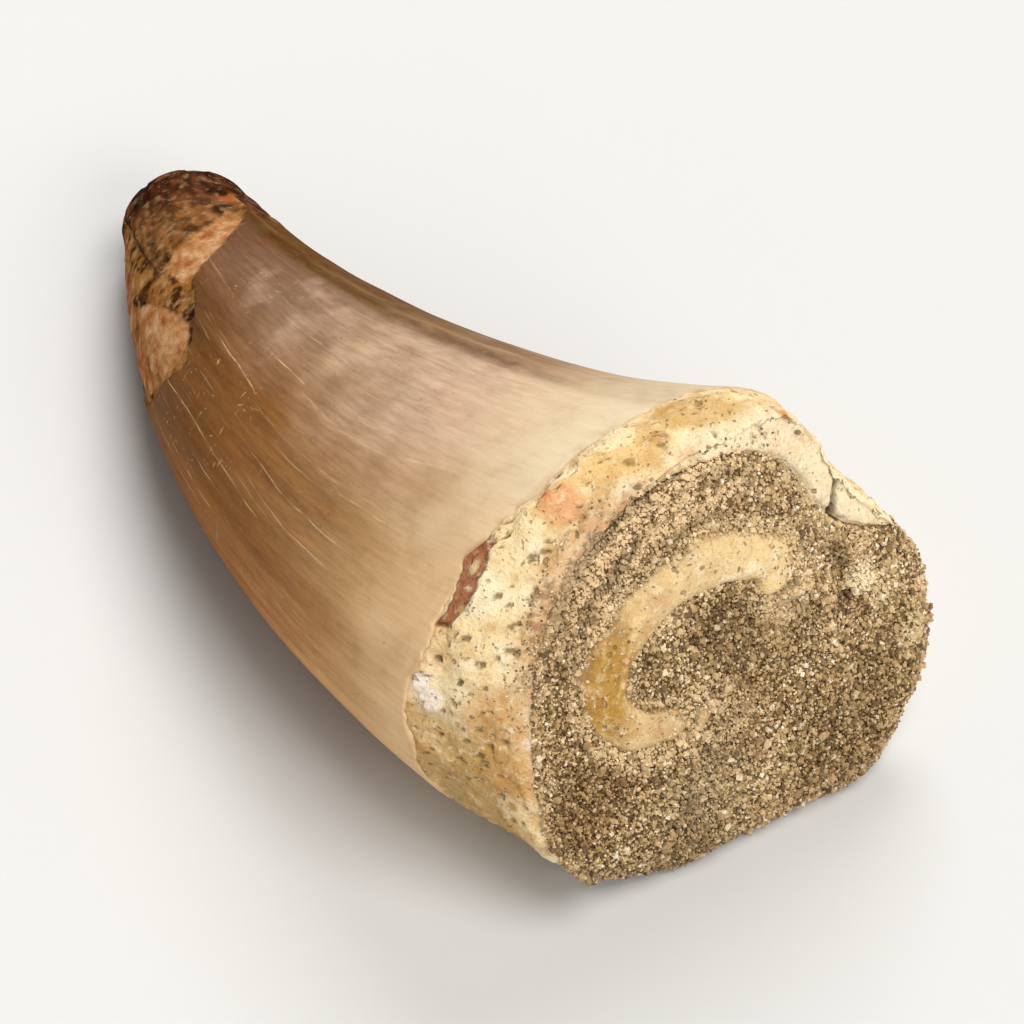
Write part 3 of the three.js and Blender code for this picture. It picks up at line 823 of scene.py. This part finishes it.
def make_crown():
    at = crown_places()
    s, angle, cap = at.s, at.angle, at.cap
    matt = np.maximum(0.28 * at.chipped, 0.22 * smooth(cap, -0.3, 0.3)) + 0.08 * smooth(s, 0.35, 0.17)
    on_crown = smooth(s, 0.22, 0.36) * smooth(s, 0.80, 0.70)
    fields = {
        "flow": at.flow,
        "paint": crown_paint(at),
        "worn": np.maximum(at.chipped, 0.55 * smooth(cap, -0.2, 0.3)),
        "matt": np.minimum(matt + 0.22 * at.concave + 0.14 * at.flank, 0.3),
        "hairs": np.maximum(facing(angle, 140, 0.60, 0.93), 0.15) * on_crown,
        "nicked": nicked_places(at, on_crown),
        "grained": lerp(0.2, 0.8, smooth(s, 0.19, 0.42)) * (1 - 0.75 * smooth(cap, -0.2, 0.3)),
    }
    points = above_floor(crown_point(s, angle, crown_lift(at)))
    return mesh_piece("tooth_crown", points, quads(*s.shape), "tooth", ENAMEL, fields)


# --- Root ---


def sand_share(angle):
    """Share of the root band that the sand covers, round the whole tooth."""
    uneven = rough_noise(ring(angle, 14), 4.0, 3, 61) + facing(angle, 280, 0.4, 0.8)
    covered = HOLLOW_DEPTH + 0.9 * uneven
    shares = np.linspace(0, 1, 60)
    depth = (BREAK_CENTRE - root_point(*grid(shares, angle))) @ BREAK_NORMAL
    end = [np.interp(target, np.maximum.accumulate(run), shares) for target, run in zip(covered, depth.T)]
    return np.array(end) * open_side(angle)


def mixed_zone(share, angle):
    """Where sand grains are stuck in the bone beside the sand, from 0 to 1."""
    return smooth(share, 0.28, 0.02) * facing(angle, 136, 0.86, 0.965)


def root_pits(x, y, points):
    """Depth of the pores of the root band: a few placed ones and many scattered ones."""
    scattered = random.uniform((0.04, 0, 0.07), (0.97, 360, 0.2), size=(SCATTERED_PORES, 3))
    ragged = 0.3 * rough_noise(points, 0.6, 2, 87)
    depth = np.zeros_like(x)
    for share, degrees, radius in [*ROOT_PORES, *scattered]:
        stretch = random.uniform(0.55, 1.0)
        aside = x - share * ROOT_PLANE[0], y - np.radians(degrees) * ROOT_PLANE[1]
        away = np.hypot(aside[0] * stretch, aside[1]) / radius + ragged
        depth = np.maximum(depth, radius * smooth(away, 1.15, 0.35))
    return depth


def creases(points, large, small):
    return np.abs(noise(points, large, 67)) + 0.5 * np.abs(noise(points, small, 68)) - 0.35


def root_paint(at):
    """Colours of the root's bone, over its band, its flat top and its inner wall."""
    points, share, angle, x, y = at.points, at.share, at.angle, at.x, at.y
    mottle = rough_noise(points, 2.4, 4, 81)
    wobble = 0.25 * rough_noise(points, 1.1, 3, 82)
    dirt = rough_noise(points, 1.2, 3, 83)
    speckle = noise(points, 0.34, 88) + 0.6 * noise(points, 0.9, 89)
    mixed = mixed_zone(share, angle)
    ochre_side = facing(angle, 202, 0.78, 0.93) * smooth(share, 0.05, 0.4)
    inner_ring = facing(angle, 128, 0.75, 0.9) * smooth(share, 0.10, 0.0)
    sheltered = smooth(np.degrees(angle), 84, 112) * smooth(np.degrees(angle), 330, 300)
    stains = [
        (colour, strength * smooth(inside_mark(x, y, mark, ROOT_PLANE) + wobble, -softness, softness))
        for mark, colour, softness, strength in ROOT_STAINS
    ]
    spots = []
    for spot_share, degrees, radius, colour in ROOT_SPOTS:
        aside = x - spot_share * ROOT_PLANE[0], y - np.radians(degrees) * ROOT_PLANE[1]
        spots.append((colour, 0.9 * smooth(np.hypot(*aside) + 0.8 * wobble, radius, radius * 0.5)))
    return layered(
        "f7dfae",
        ("fdecc4", smooth(mottle, 0.0, 0.5)),
        ("dcb678", 0.8 * smooth(mottle, -0.05, -0.55)),
        ("f2d2a4", 0.75 * smooth(share + 0.10 * noise(points, 1.4, 85), 0.70, 1.0)),
        *stains,
        ("5d2f18", 0.9 * at.red_rim),
        ("fdebc8", 0.8 * facing(angle, 56, 0.70, 0.86) * smooth(share, 0.2, 0.0)),
        *spots,
        ("b68c47", 0.85 * ochre_side * smooth(mottle, -1.0, 0.0)),
        ("cdae76", 0.5 * facing(angle, 300, -0.2, 0.5) * smooth(mottle, -0.4, 0.5)),
        ("dba47c", 0.75 * inner_ring * smooth(noise(points, 1.1, 84), -0.3, 0.3)),
        ("7f6539", 0.85 * smooth(at.pits, 0.03, 0.17)),
        ("4a3016", 0.9 * at.crack),
        ("9b8058", lerp(0.25, 0.7, sheltered) * at.toward_sand * smooth(dirt, -0.25, 0.35)),
        ("d8a882", 0.6 * mixed),
        ("866e4a", 0.75 * mixed * smooth(speckle, -0.05, 0.3)),
        ("8b7148", 0.75 * at.near_sand * smooth(dirt, -0.4, 0.2)),
    )


def make_root():
    """The root's bone: its outer band, the flat top of its broken end and the wall down into its hollow."""
    column = np.linspace(0, TURN, ROOT_COLUMNS, endpoint=False)
    covered_to = sand_share(column)
    share, angle = grid(np.linspace(1.03, 0, ROOT_BAND_ROWS), column)
    covered = smooth(covered_to - share, 0.05, 0.20) * open_side(angle)
    plain = root_point(share, angle)
    x, y = share * ROOT_PLANE[0], angle * ROOT_PLANE[1]
    pits = root_pits(x, y, plain) * (1 - covered)
    red = inside_mark(x, y, RED_FLAKE, ROOT_PLANE) + 0.14 * rough_noise(plain, 0.7, 3, 71)
    white = inside_mark(x, y, WHITE_CHIP, ROOT_PLANE) + 0.1 * rough_noise(plain, 0.8, 2, 72)
    chips = smooth(rough_noise(plain, 1.6, 3, 69), 0.10, 0.5) * smooth(share, 0.3, 0.05)
    lift = 0.14 * rough_noise(plain, 1.6, 4, 62) + 0.24 * creases(plain, 1.5, 0.7) - 0.26 * chips
    lift = (lift - 0.8 * pits - 0.55 * covered) * smooth(share, 1.0, 0.93)
    lift += 0.24 * smooth(share, 0.84, 0.97) * smooth(noise(plain, 2.6, 60), -0.55, 0.1)
    lift += 0.13 * smooth(red, -0.05, 0.2) + 0.12 * smooth(white, -0.05, 0.15)
    lift -= 0.22 * smooth(share, 0.10, 0.0) + 0.4 * smooth(share, 0.985, 1.03) + openness(angle) * covered
    terrace = smooth(TERRACE_WIDTH - x + 0.25 * noise(plain, 1.6, 63), -0.1, 0.15)
    lift -= 0.22 * terrace * facing(angle, 125, 0.8, 0.92)
    sunk = np.minimum(sediment_height(sediment_edge(column), column), 0)
    sunk = 0.9 * sunk * smooth(share / (covered_to + 0.05), 0.7, 0.0) * covered
    band = root_point(share, angle, lift) + sunk[..., None] * BREAK_NORMAL

    rim = rim_radius(column)
    inner = np.minimum(hollow_radius(column), rim - 0.05) + 0.18 * rough_noise(ring(column, 12), 1.2, 3, 64)
    inner = np.minimum(inner, rim - 0.05)
    rim = rim - 0.22
    steps, top_angle = grid(np.linspace(0, 1, ROOT_TOP_ROWS + 1)[1:], column)
    radius = lerp(rim, inner, steps)
    on_plane = break_point(radius, top_angle)
    height = 0.18 * rough_noise(on_plane, 1.7, 4, 65) - 0.22 * np.exp(-np.maximum(rim - radius, 0) / 0.3)
    height += 0.22 * creases(on_plane, 1.3, 0.6)
    height -= 0.3 * smooth(steps, 0.75, 1.0) * smooth(rim - inner, 0.3, 1.5)
    bent = 0.12 * noise(on_plane, 0.8, 66)
    crack = from_line(radius * np.cos(top_angle) + bent, radius * np.sin(top_angle), CRACK_LINE)
    height -= 0.5 * smooth(crack, 0.28, 0.05) + 0.8 * open_side(top_angle) + 1.4 * openness(top_angle)
    radius = radius - OPEN_SIDE_INSET * open_side(top_angle)
    top = break_point(radius, top_angle, height)
    down, wall_angle = grid(np.linspace(0, 1, ROOT_WALL_ROWS + 1)[1:], column)
    wall_radius = inner + 0.1 - OPEN_SIDE_INSET * open_side(wall_angle)
    wall = break_point(wall_radius, wall_angle, height[-1] - ROOT_WALL_HEIGHT * down)
    points = above_floor(np.concatenate([band, top, wall]))

    def stacked(on_band, on_top=0.0, on_wall=0.0):
        return np.concatenate([on_band + 0 * share, on_top + 0 * steps, on_wall + 0 * down])

    all_share = stacked(share)
    all_angle = stacked(angle, top_angle, wall_angle)
    paint = root_paint(SimpleNamespace(
        points=points, share=all_share, angle=all_angle, y=all_angle * ROOT_PLANE[1],
        x=all_share * ROOT_PLANE[0] - stacked(0, rim - radius, 9),
        red_rim=stacked(smooth(red, -0.12, 0.02) * smooth(red, 0.22, 0.05)), pits=stacked(pits),
        crack=stacked(0, smooth(crack, 0.30, 0.08)), toward_sand=stacked(0, smooth(steps, 0.35, 1.0), 1),
        near_sand=stacked(smooth(covered_to - share, -0.16, 0.0) * open_side(angle)),
    ))
    faces = quads(len(points), ROOT_COLUMNS)[:, ::-1]
    mesh_piece("tooth_root", points, faces, "tooth", BONE, {"paint": paint})
    return points[:ROOT_BAND_ROWS], share, angle


# --- Ridge ---


def ridge_curve(steps):
    """Points, outward directions and run lengths along the ridge's midline, in the plane of the break."""
    nodes = np.vstack([2 * RIDGE_LINE[0] - RIDGE_LINE[1], RIDGE_LINE, 2 * RIDGE_LINE[-1] - RIDGE_LINE[-2]])
    t = np.linspace(0, len(RIDGE_LINE) - 1, steps)
    i = np.minimum(t.astype(int), len(RIDGE_LINE) - 2)
    p = (t - i)[:, None]
    a, b, c, d = nodes[i], nodes[i + 1], nodes[i + 2], nodes[i + 3]
    squared, cubed = 2 * a - 5 * b + 4 * c - d, 3 * b - a - 3 * c + d
    line = 0.5 * (2 * b + (c - a) * p + squared * p ** 2 + cubed * p ** 3)
    along = unit(np.gradient(line, axis=0))
    run = np.concatenate([[0], np.cumsum(np.hypot(*np.diff(line, axis=0).T))])
    return line, np.stack([along[:, 1], -along[:, 0]], axis=-1), run


def ridge_reach(share, offset, to_end):
    """Distance from the ridge's midline to its foot on the offset's side, and how full its section is."""
    fullness = np.sqrt(1 - np.clip(1 - to_end / RIDGE_END, 0, 1) ** 2)
    width = lerp(*RIDGE_WIDTHS, share) / RIDGE_WIDTHS[0]
    return np.where(offset < 0, *RIDGE_REACH) * width * np.maximum(fullness, 0.03), fullness


def ridge_height(share, offset, to_end):
    """Height of the ridge over the break at an offset from its midline: steep inside, sloping outside."""
    reach, fullness = ridge_reach(share, offset, to_end)
    fall = np.abs(offset / reach) ** np.where(offset < 0, 4.5, 2.4)
    crest = RIDGE_PROUD - 0.35 * smooth(share, 0.70, 1.0)
    return crest - (crest + RIDGE_FOOT) * fall - 0.5 * (1 - fullness)


def make_ridge():
    line, side, run = ridge_curve(RIDGE_STEPS)
    share, to_end = (run / run[-1])[:, None], np.minimum(run, run[-1] - run)[:, None]
    spread = np.linspace(-1, 1, RIDGE_PROFILE)[None]
    offset = spread * ridge_reach(share, spread, to_end)[0]
    height = ridge_height(share, offset, to_end)

    def placed(offset, height):
        return break_place(line[:, 0:1] + offset * side[:, 0:1], line[:, 1:2] + offset * side[:, 1:2], height)

    plain = placed(offset, height)
    shift = 0.34 * noise(plain, 2.2, 92) + 0.16 * noise(plain, 0.9, 94)
    points = placed(offset + shift, height + 0.12 * rough_noise(plain, 1.2, 4, 91))
    mottle = rough_noise(points, 1.4, 4, 93)
    speckle = mottle + 0.8 * rough_noise(points, 0.5, 2, 95)
    ochre = smooth(share, 0.40, 0.56) * smooth(share, 0.80, 0.68)
    level = 0.22 + 0.16 * mottle
    paint = layered(
        "efd29c",
        ("f9e6c0", smooth(mottle, 0.0, 0.6)),
        ("d9b684", 0.7 * smooth(share, 0.14, 0.34) * smooth(mottle, -0.9, 0.2)),
        ("bd9142", ochre * smooth(speckle, -1.1, -0.1)),
        ("946c38", 0.5 * ochre * smooth(speckle, 0.15, 0.8)),
        ("cfae7c", 0.85 * smooth(share, 0.74, 0.9)),
        ("a98555", 0.85 * smooth(height, level + 0.22, level - 0.05)),
        # Painted shadow along the foot of the ridge's steep inner side.
        ("7c5c34", 0.7 * smooth(spread, -0.55, -0.8) * smooth(mottle, -0.7, 0.0)),
    )
    faces = np.roll(quads(RIDGE_STEPS, RIDGE_PROFILE, closed=False)[:, ::-1], 1, axis=1)
    mesh_piece("tooth_ridge", points, faces, "tooth", BONE, {"paint": paint})


def near_ridge(x, y):
    """For places on the break: distance and offset from the ridge's midline, run to there, and whole run."""
    line, side, run = ridge_curve(90)
    gap = np.hypot(x[:, None] - line[:, 0], y[:, None] - line[:, 1])
    i = gap.argmin(axis=1)
    offset = (x - line[i, 0]) * side[i, 0] + (y - line[i, 1]) * side[i, 1]
    return gap.min(axis=1), offset, run[i], run[-1]


def ridge_level(x, y):
    """Height of the ridge's surface over places on the break, far below it away from the ridge."""
    gap, offset, run, whole = near_ridge(x, y)
    to_end = np.minimum(run, whole - run) - np.sqrt(np.maximum(gap ** 2 - offset ** 2, 0))
    return np.maximum(ridge_height(run / whole, offset, np.maximum(to_end, 0)), -9.0) - 3.0 * (to_end < 0)


def ridge_gap(x, y):
    """Distance from places on the break to the ridge's visible side, negative on the ridge."""
    gap, offset, _, _ = near_ridge(x, y)
    return gap - np.where(offset > 0, 0.75 * RIDGE_REACH[1], 0.82 * RIDGE_REACH[0])


# --- Sediment ---

BED_CLEARANCE = SEDIMENT_CLEARANCE - 0.1
SAND_SHADES = [
    (0.0, "604a2d"), (0.16, "876c46"), (0.34, "af9266"), (0.54, "c9ab7c"), (0.74, "dfc59b"), (0.9, "efddbc"),
    (1.0, "fbf0da"),
]
SAND_BLOTCHES = [  # x, y on the break, radius, change of tone, colour, strength
    (-4.6, -6.2, 3.8, -0.03, "b9a887", 0.28), (-11.6, -3.4, 3.4, -0.12, "8a6330", 0.34),
    (5.4, -7.6, 4.4, -0.13, "8a6d40", 0.26), (9.6, -4.2, 3.2, -0.07, "8a6d3e", 0.2),
    (-5.0, -10.0, 4.6, -0.12, "85683c", 0.26), (-1.6, -3.6, 3.0, -0.10, "86693e", 0.20),
    (8.3, 2.2, 1.05, 0.4, "efdfba", 0.95), (9.9, 0.8, 1.5, 0.14, "d9c190", 0.35),
    (11.3, -3.1, 1.3, 0.2, "e2d0a0", 0.6), (8.6, 4.4, 1.5, 0.12, "dcc08c", 0.40),
    (-2.4, 11.2, 3.0, 0.05, "d3b683", 0.34), (-8.6, 9.4, 2.6, 0.04, "cfb28c", 0.34),
    (3.0, 2.0, 3.2, -0.06, "86683c", 0.22), (0.6, 10.4, 1.6, -0.02, "8f7448", 0.10),
    # The two 50391c blotches at x 7.1 are painted shadow in the dents beside the pale lump.
    (-0.4, -0.8, 2.4, -0.08, "8a6c42", 0.25), (7.1, 1.4, 0.5, -0.2, "50391c", 0.4),
    (7.1, 3.8, 0.8, -0.25, "50391c", 0.4), (-0.5, 3.2, 2.6, -0.10, "6f5330", 0.24),
]


def sediment_edge(angle):
    return np.minimum(hollow_radius(angle) - 0.08, rim_radius(angle) - 0.12)


def sediment_height(radius, angle):
    """Height of the sand over the break: a low dome with lumps, rounded off towards its open side."""
    rim = rim_radius(angle)
    to_edge = np.clip((rim - radius) / SEDIMENT_ROUNDING_WIDTH, 0, 1)
    point = break_point(radius, angle)
    height = SEDIMENT_DOME * (1 - (radius / rim) ** 2)
    height = height - SEDIMENT_ROUNDING * openness(angle) * (1 - to_edge) ** 2
    height = height + 0.3 * noise(point, 2.4, 101) + 0.1 * noise(point, 0.8, 102)
    for x, y, size, rise in SAND_LUMPS:
        away = np.hypot(radius * np.cos(angle) - x, radius * np.sin(angle) - y) / size
        height = height + rise * np.exp(-away ** 4)
    return height


SIDE_ANGLES = np.linspace(0, TURN, 720, endpoint=False)
SIDE_SHARES = sand_share(SIDE_ANGLES)


def side_point(share, angle, lift=0.0):
    """Point of the sand's open side, from the edge of its top (share 0) to its ragged lower end."""
    end = np.interp(np.mod(angle, TURN), SIDE_ANGLES, SIDE_SHARES, period=TURN)
    drop = sediment_height(sediment_edge(angle), angle)
    outer = root_point(share * end, angle, lift - 0.1 - 0.35 * smooth(share, 0.85, 1.0))
    outer = outer + (0.9 * np.minimum(drop, 0) * smooth(share, 0.7, 0))[..., None] * BREAK_NORMAL
    inner = break_point(sediment_edge(angle) + 0.05, angle, drop - 1.5 * share)
    return above_floor(lerp(inner, outer, open_side(angle)[..., None]), BED_CLEARANCE)


def sand_shade(points, tone):
    """Colours of sand: its own tones, blotches, and dust from the bone beside it."""
    x, y = on_break(points)
    ragged = 0.35 * noise(points, 1.8, 111)
    blotches = []
    for at_x, at_y, size, change, shade, strength in SAND_BLOTCHES:
        mask = smooth(np.hypot(x - at_x, y - at_y) / size + ragged, 1.15, 0.35)
        tone = tone + change * mask
        blotches.append((shade, strength * mask))
    turn, radius = np.arctan2(y, x), np.hypot(x, y)
    to_bone = hollow_radius(turn) - radius
    inside = smooth(to_bone, -0.6, -0.1)
    dust = inside * smooth(to_bone, 1.5, 0.0) * facing(turn, 95, 0.35, 0.75)
    dust = np.maximum(dust, smooth(ridge_gap(x, y), 0.5, -0.2))
    streaked = inside * facing(turn, 112, 0.78, 0.92) * smooth(radius, 9.2, 11.6)
    streaks = noise(np.stack([2.2 * turn, 1.2 * radius, 0 * turn], axis=-1), 1.0, 112)
    streaks = streaks + 0.5 * noise(points, 0.7, 114)
    return layered(
        gradient(tone, SAND_SHADES),
        *blotches,
        ("ecd3a6", 0.62 * dust * smooth(noise(points, 0.9, 113), -0.7, 0.3)),
        ("ecd0a6", 0.85 * streaked * smooth(streaks, -0.15, 0.25)),
        ("7d6747", 0.45 * streaked * smooth(streaks, -0.05, -0.4)),
    )


def make_sand_bed():
    """The fine matrix under the grains: its top in the hollow and its open side."""
    column = np.linspace(0, TURN, SKIN_COLUMNS, endpoint=False)
    steps, angle = grid(np.linspace(0.004, 1, SKIN_TOP_ROWS), column)
    radius = steps * sediment_edge(column)
    top = break_point(radius, angle, sediment_height(radius, angle) - 0.12)
    share, angle = grid(np.linspace(0, 1, SKIN_SIDE_ROWS + 1)[1:], column)
    side = side_point(share, angle, 0.1 * noise(side_point(share, angle), 0.9, 103) - 0.14)
    points = above_floor(np.concatenate([top, side]), BED_CLEARANCE).reshape(-1, 3)
    paint = sand_shade(points, 0.38 + 0.1 * rough_noise(points, 1.0, 3, 104))
    faces = quads(SKIN_TOP_ROWS + SKIN_SIDE_ROWS, SKIN_COLUMNS)
    mesh_piece("sand_bed", points, faces, "sediment_matrix", SAND_BED, {"paint": paint})


# --- Sand grains ---

# A grain's corners are those of two squares, the lower one turned by an eighth, until it is roughened.
GRAIN_CORNERS = unit(np.array([
    (np.cos(turn), np.sin(turn), level) for level, start in ((0.62, 0.0), (-0.62, np.pi / 4))
    for turn in start + np.arange(4) * np.pi / 2
]))
GRAIN_FACES = np.array(
    [(0, 1, 2), (0, 2, 3), (4, 6, 5), (4, 7, 6)]
    + [(i, 4 + i, (i + 1) % 4) for i in range(4)]
    + [((i + 1) % 4, 4 + i, 4 + (i + 1) % 4) for i in range(4)]
)


def random_turns(count):
    w, x, y, z = unit(random.normal(size=(count, 4))).T
    return np.array([
        (1 - 2 * (y * y + z * z), 2 * (x * y - z * w), 2 * (x * z + y * w)),
        (2 * (x * y + z * w), 1 - 2 * (x * x + z * z), 2 * (y * z - x * w)),
        (2 * (x * z - y * w), 2 * (y * z + x * w), 1 - 2 * (x * x + y * y)),
    ]).transpose(2, 0, 1)


def grain_tones(count):
    """Tones of the grains: mostly mid brown, some dark, a few pale."""
    kinds = random.choice(3, size=count, p=(0.30, 0.55, 0.15))
    ranges = ((0.0, 0.30), (0.3, 0.70), (0.72, 1.0))
    return np.choose(kinds, [random.uniform(low, high, count) for low, high in ranges])


def grain_sizes(count):
    """Radii of the grains: mostly fine, a few coarse."""
    fine = np.clip(random.lognormal(np.log(0.094), 0.30, count), 0.06, 0.22)
    return np.where(random.uniform(size=count) < 0.03, random.uniform(0.17, 0.28, count), fine)


def make_grains(centres, sizes):
    """Joined meshes of angular grains at the given centres."""
    count, corners = len(centres), len(GRAIN_CORNERS)
    body = GRAIN_CORNERS[None] * random.uniform(0.70, 1.30, size=(count, 1, 3))
    body = body * random.uniform(0.82, 1.18, size=(count, corners, 1))
    body = np.einsum("nij,nkj->nki", random_turns(count), body) * sizes[:, None, None]
    points = above_floor(body + centres[:, None], 0.02)
    tones = grain_tones(count)
    paint = np.repeat(sand_shade(centres, tones), corners, axis=0)
    dull = np.repeat(lerp(0.70, 0.34, smooth(tones, 0.6, 0.95)), corners)
    for number, start in enumerate(range(0, count, GRAINS_A_PIECE)):
        part = points[start:start + GRAINS_A_PIECE]
        faces = (GRAIN_FACES + corners * np.arange(len(part))[:, None, None]).reshape(-1, 3)
        own = slice(start * corners, (start + len(part)) * corners)
        fields = {"paint": paint[own], "dull": dull[own]}
        mesh_piece(
            f"sand_grains_{number + 1}", part, faces, "sediment_matrix", GRAINS, fields,
            smooth_shaded=False,
        )


def top_grains():
    """Places and sizes of the grains that lie in the hollow, few and small ones over the ridge."""
    angle = random.uniform(0, TURN, GRAIN_COUNT)
    radius = sediment_edge(angle) * np.sqrt(random.uniform(0, 1, GRAIN_COUNT))
    bed = sediment_height(radius, angle)
    ridge = ridge_level(radius * np.cos(angle), radius * np.sin(angle))
    keep = (ridge < bed + random.normal(0.02, 0.10, GRAIN_COUNT)) | (random.uniform(size=GRAIN_COUNT) < 0.05)
    angle, radius, bed, ridge = angle[keep], radius[keep], bed[keep], ridge[keep]
    sizes = grain_sizes(len(angle))
    sizes = np.where(ridge > bed + 0.08, np.minimum(0.8 * sizes, 0.13), sizes)
    level = np.where(ridge > bed, ridge - 0.03, bed + random.uniform(-0.14, 0.05, len(angle)))
    return break_point(radius, angle, level), sizes


def side_grains():
    """Places of the grains on the sand's open side."""
    angle = random.uniform(np.radians(200), np.radians(380), SIDE_GRAIN_COUNT)
    share = random.uniform(-0.02, 1.04, SIDE_GRAIN_COUNT)
    keep = open_side(angle) > random.uniform(0.5, 0.9, SIDE_GRAIN_COUNT)
    return side_point(share[keep], angle[keep], random.uniform(-0.16, 0.06, keep.sum()))


def rim_grains():
    """Places of the grains that stick to the flat top of the bone, most of them past 130 degrees."""
    angle = random.uniform(np.radians(60), np.radians(216), RIM_GRAIN_COUNT)
    thick = smooth(np.degrees(angle), 114, 146)
    keep = random.uniform(size=RIM_GRAIN_COUNT) < lerp(0.10, 1.0, thick)
    angle, thick = angle[keep], thick[keep]
    spread = random.uniform(0, 1, len(angle)) ** lerp(2.6, 1.2, thick)
    radius = lerp(sediment_edge(angle), rim_radius(angle) - 0.15, spread)
    return break_point(radius, angle, random.uniform(-0.12, 0.10, len(angle)))


def stuck_grains(band_points, band_share, band_angle):
    """Places of the grains that are stuck in the outer band of the bone, beside the sand."""
    row = random.integers(0, ROOT_BAND_ROWS - 1, BAND_GRAIN_COUNT)
    column = random.integers(0, ROOT_COLUMNS, BAND_GRAIN_COUNT)
    beside = band_points[row + 1, (column + 1) % ROOT_COLUMNS]
    stuck = lerp(band_points[row, column], beside, random.uniform(size=(BAND_GRAIN_COUNT, 1)))
    chance = mixed_zone(band_share[row, column], band_angle[row, column])
    chance = chance * smooth(noise(stuck, 0.9, 89), -0.4, 0.2)
    return stuck[random.uniform(size=BAND_GRAIN_COUNT) < chance]


def scatter_grains(band):
    top, top_sizes = top_grains()
    side = side_grains()
    rim = rim_grains()
    stuck = stuck_grains(*band)
    stuck_sizes = random.uniform(0.05, 0.11, len(stuck))
    sizes = [top_sizes, grain_sizes(len(side) + len(rim)), stuck_sizes]
    return np.concatenate([top, side, rim, stuck]), np.concatenate(sizes)


make_crown()
root_band = make_root()
make_ridge()
make_sand_bed()
make_grains(*scatter_grains(root_band))

# --- Floor, lights and camera ---

LIGHTS = [  # name, direction from the tooth, spread in degrees, strength, colour
    ("key", (-0.36, 0.34, 0.49), 32, 1.64, (1.0, 0.975, 0.94)),
    ("overhead", (0.22, 0.06, 0.71), 37, 2.06, (1.0, 0.98, 0.94)),
    ("side", (0.64, -0.10, 0.39), 33, 1.50, (1.0, 0.97, 0.92)),
]
WORLD_COLOUR = (0.93, 0.86, 0.77)
WORLD_STRENGTH = 0.23
CAMERA_AT = np.array([171.98, -153.26, 266.73])
CAMERA_TARGET = np.array([6.4, 1.5, 7.9])
CAMERA_UP = np.array([-0.577, 0.440, 0.688])
CAMERA_LENS = 212.0
FLOOR_COLOUR = "d0d1d2"
FLOOR_TURNS = 96
FLOOR_REACH = 1.5  # metres, to where the floor starts to bend up into the wall
FLOOR_BEND = 0.6
WALL_TOP = 0.9


def make_floor():
    """Level floor that sweeps up into a low pale wall all round."""
    bend = np.linspace(0, np.pi / 2, 24)[1:]
    flat = np.linspace(0.01, FLOOR_REACH, 12)
    reach = np.concatenate([flat, FLOOR_REACH + FLOOR_BEND * np.sin(bend), [FLOOR_REACH + FLOOR_BEND]])
    rise = np.concatenate([0 * flat, FLOOR_BEND * (1 - np.cos(bend)), [WALL_TOP]])
    turns = np.linspace(0, TURN, FLOOR_TURNS, endpoint=False)
    points = ring(turns, reach[:, None], rise[:, None]).reshape(-1, 3)
    faces = quads(len(reach), FLOOR_TURNS).tolist()
    mesh = bpy.data.meshes.new("floor")
    mesh.from_pydata(points.tolist(), [], [list(range(FLOOR_TURNS)), *faces])
    mesh.polygons.foreach_set("use_smooth", np.full(len(mesh.polygons), True))
    pale = Shader("pale_floor").finish(Base_Color=rgba(FLOOR_COLOUR), Roughness=0.85, Specular_IOR_Level=0.2)
    mesh.materials.append(pale)
    floor = add_object("floor", mesh)


def aimed(place, target, up=(0, 0, 1)):
    """Matrix of an object at a place whose -Z looks at the target."""
    back = unit(np.array(place, float) - np.array(target, float))
    right = unit(np.cross(up, back))
    basis = np.stack([right, np.cross(back, right), back], axis=1)
    return Matrix.Translation(Vector(place)) @ Matrix(basis.tolist()).to_4x4()


def make_light(name, direction, spread, strength, colour):
    data = bpy.data.lights.new(name, "SUN")
    data.angle = np.radians(spread)
    data.energy = strength
    data.color = colour
    add_object(name, data).matrix_world = aimed(direction, (0, 0, 0))


def make_world():
    world = bpy.data.worlds.new("studio")
    world.use_nodes = True
    background = world.node_tree.nodes["Background"]
    background.inputs["Color"].default_value = (*WORLD_COLOUR, 1)
    background.inputs["Strength"].default_value = WORLD_STRENGTH
    bpy.context.scene.world = world


def make_camera():
    data = bpy.data.cameras.new("camera")
    data.lens = CAMERA_LENS
    data.sensor_width = 36.0
    data.clip_start, data.clip_end = 0.01, 20.0
    camera = add_object("camera", data)
    camera.matrix_world = aimed(CAMERA_AT * MM, CAMERA_TARGET * MM, CAMERA_UP)
    bpy.context.scene.camera = camera


make_floor()
for light in LIGHTS:
    make_light(*light)
make_world()
make_camera()
bpy.context.scene.view_settings.view_transform = "Standard"
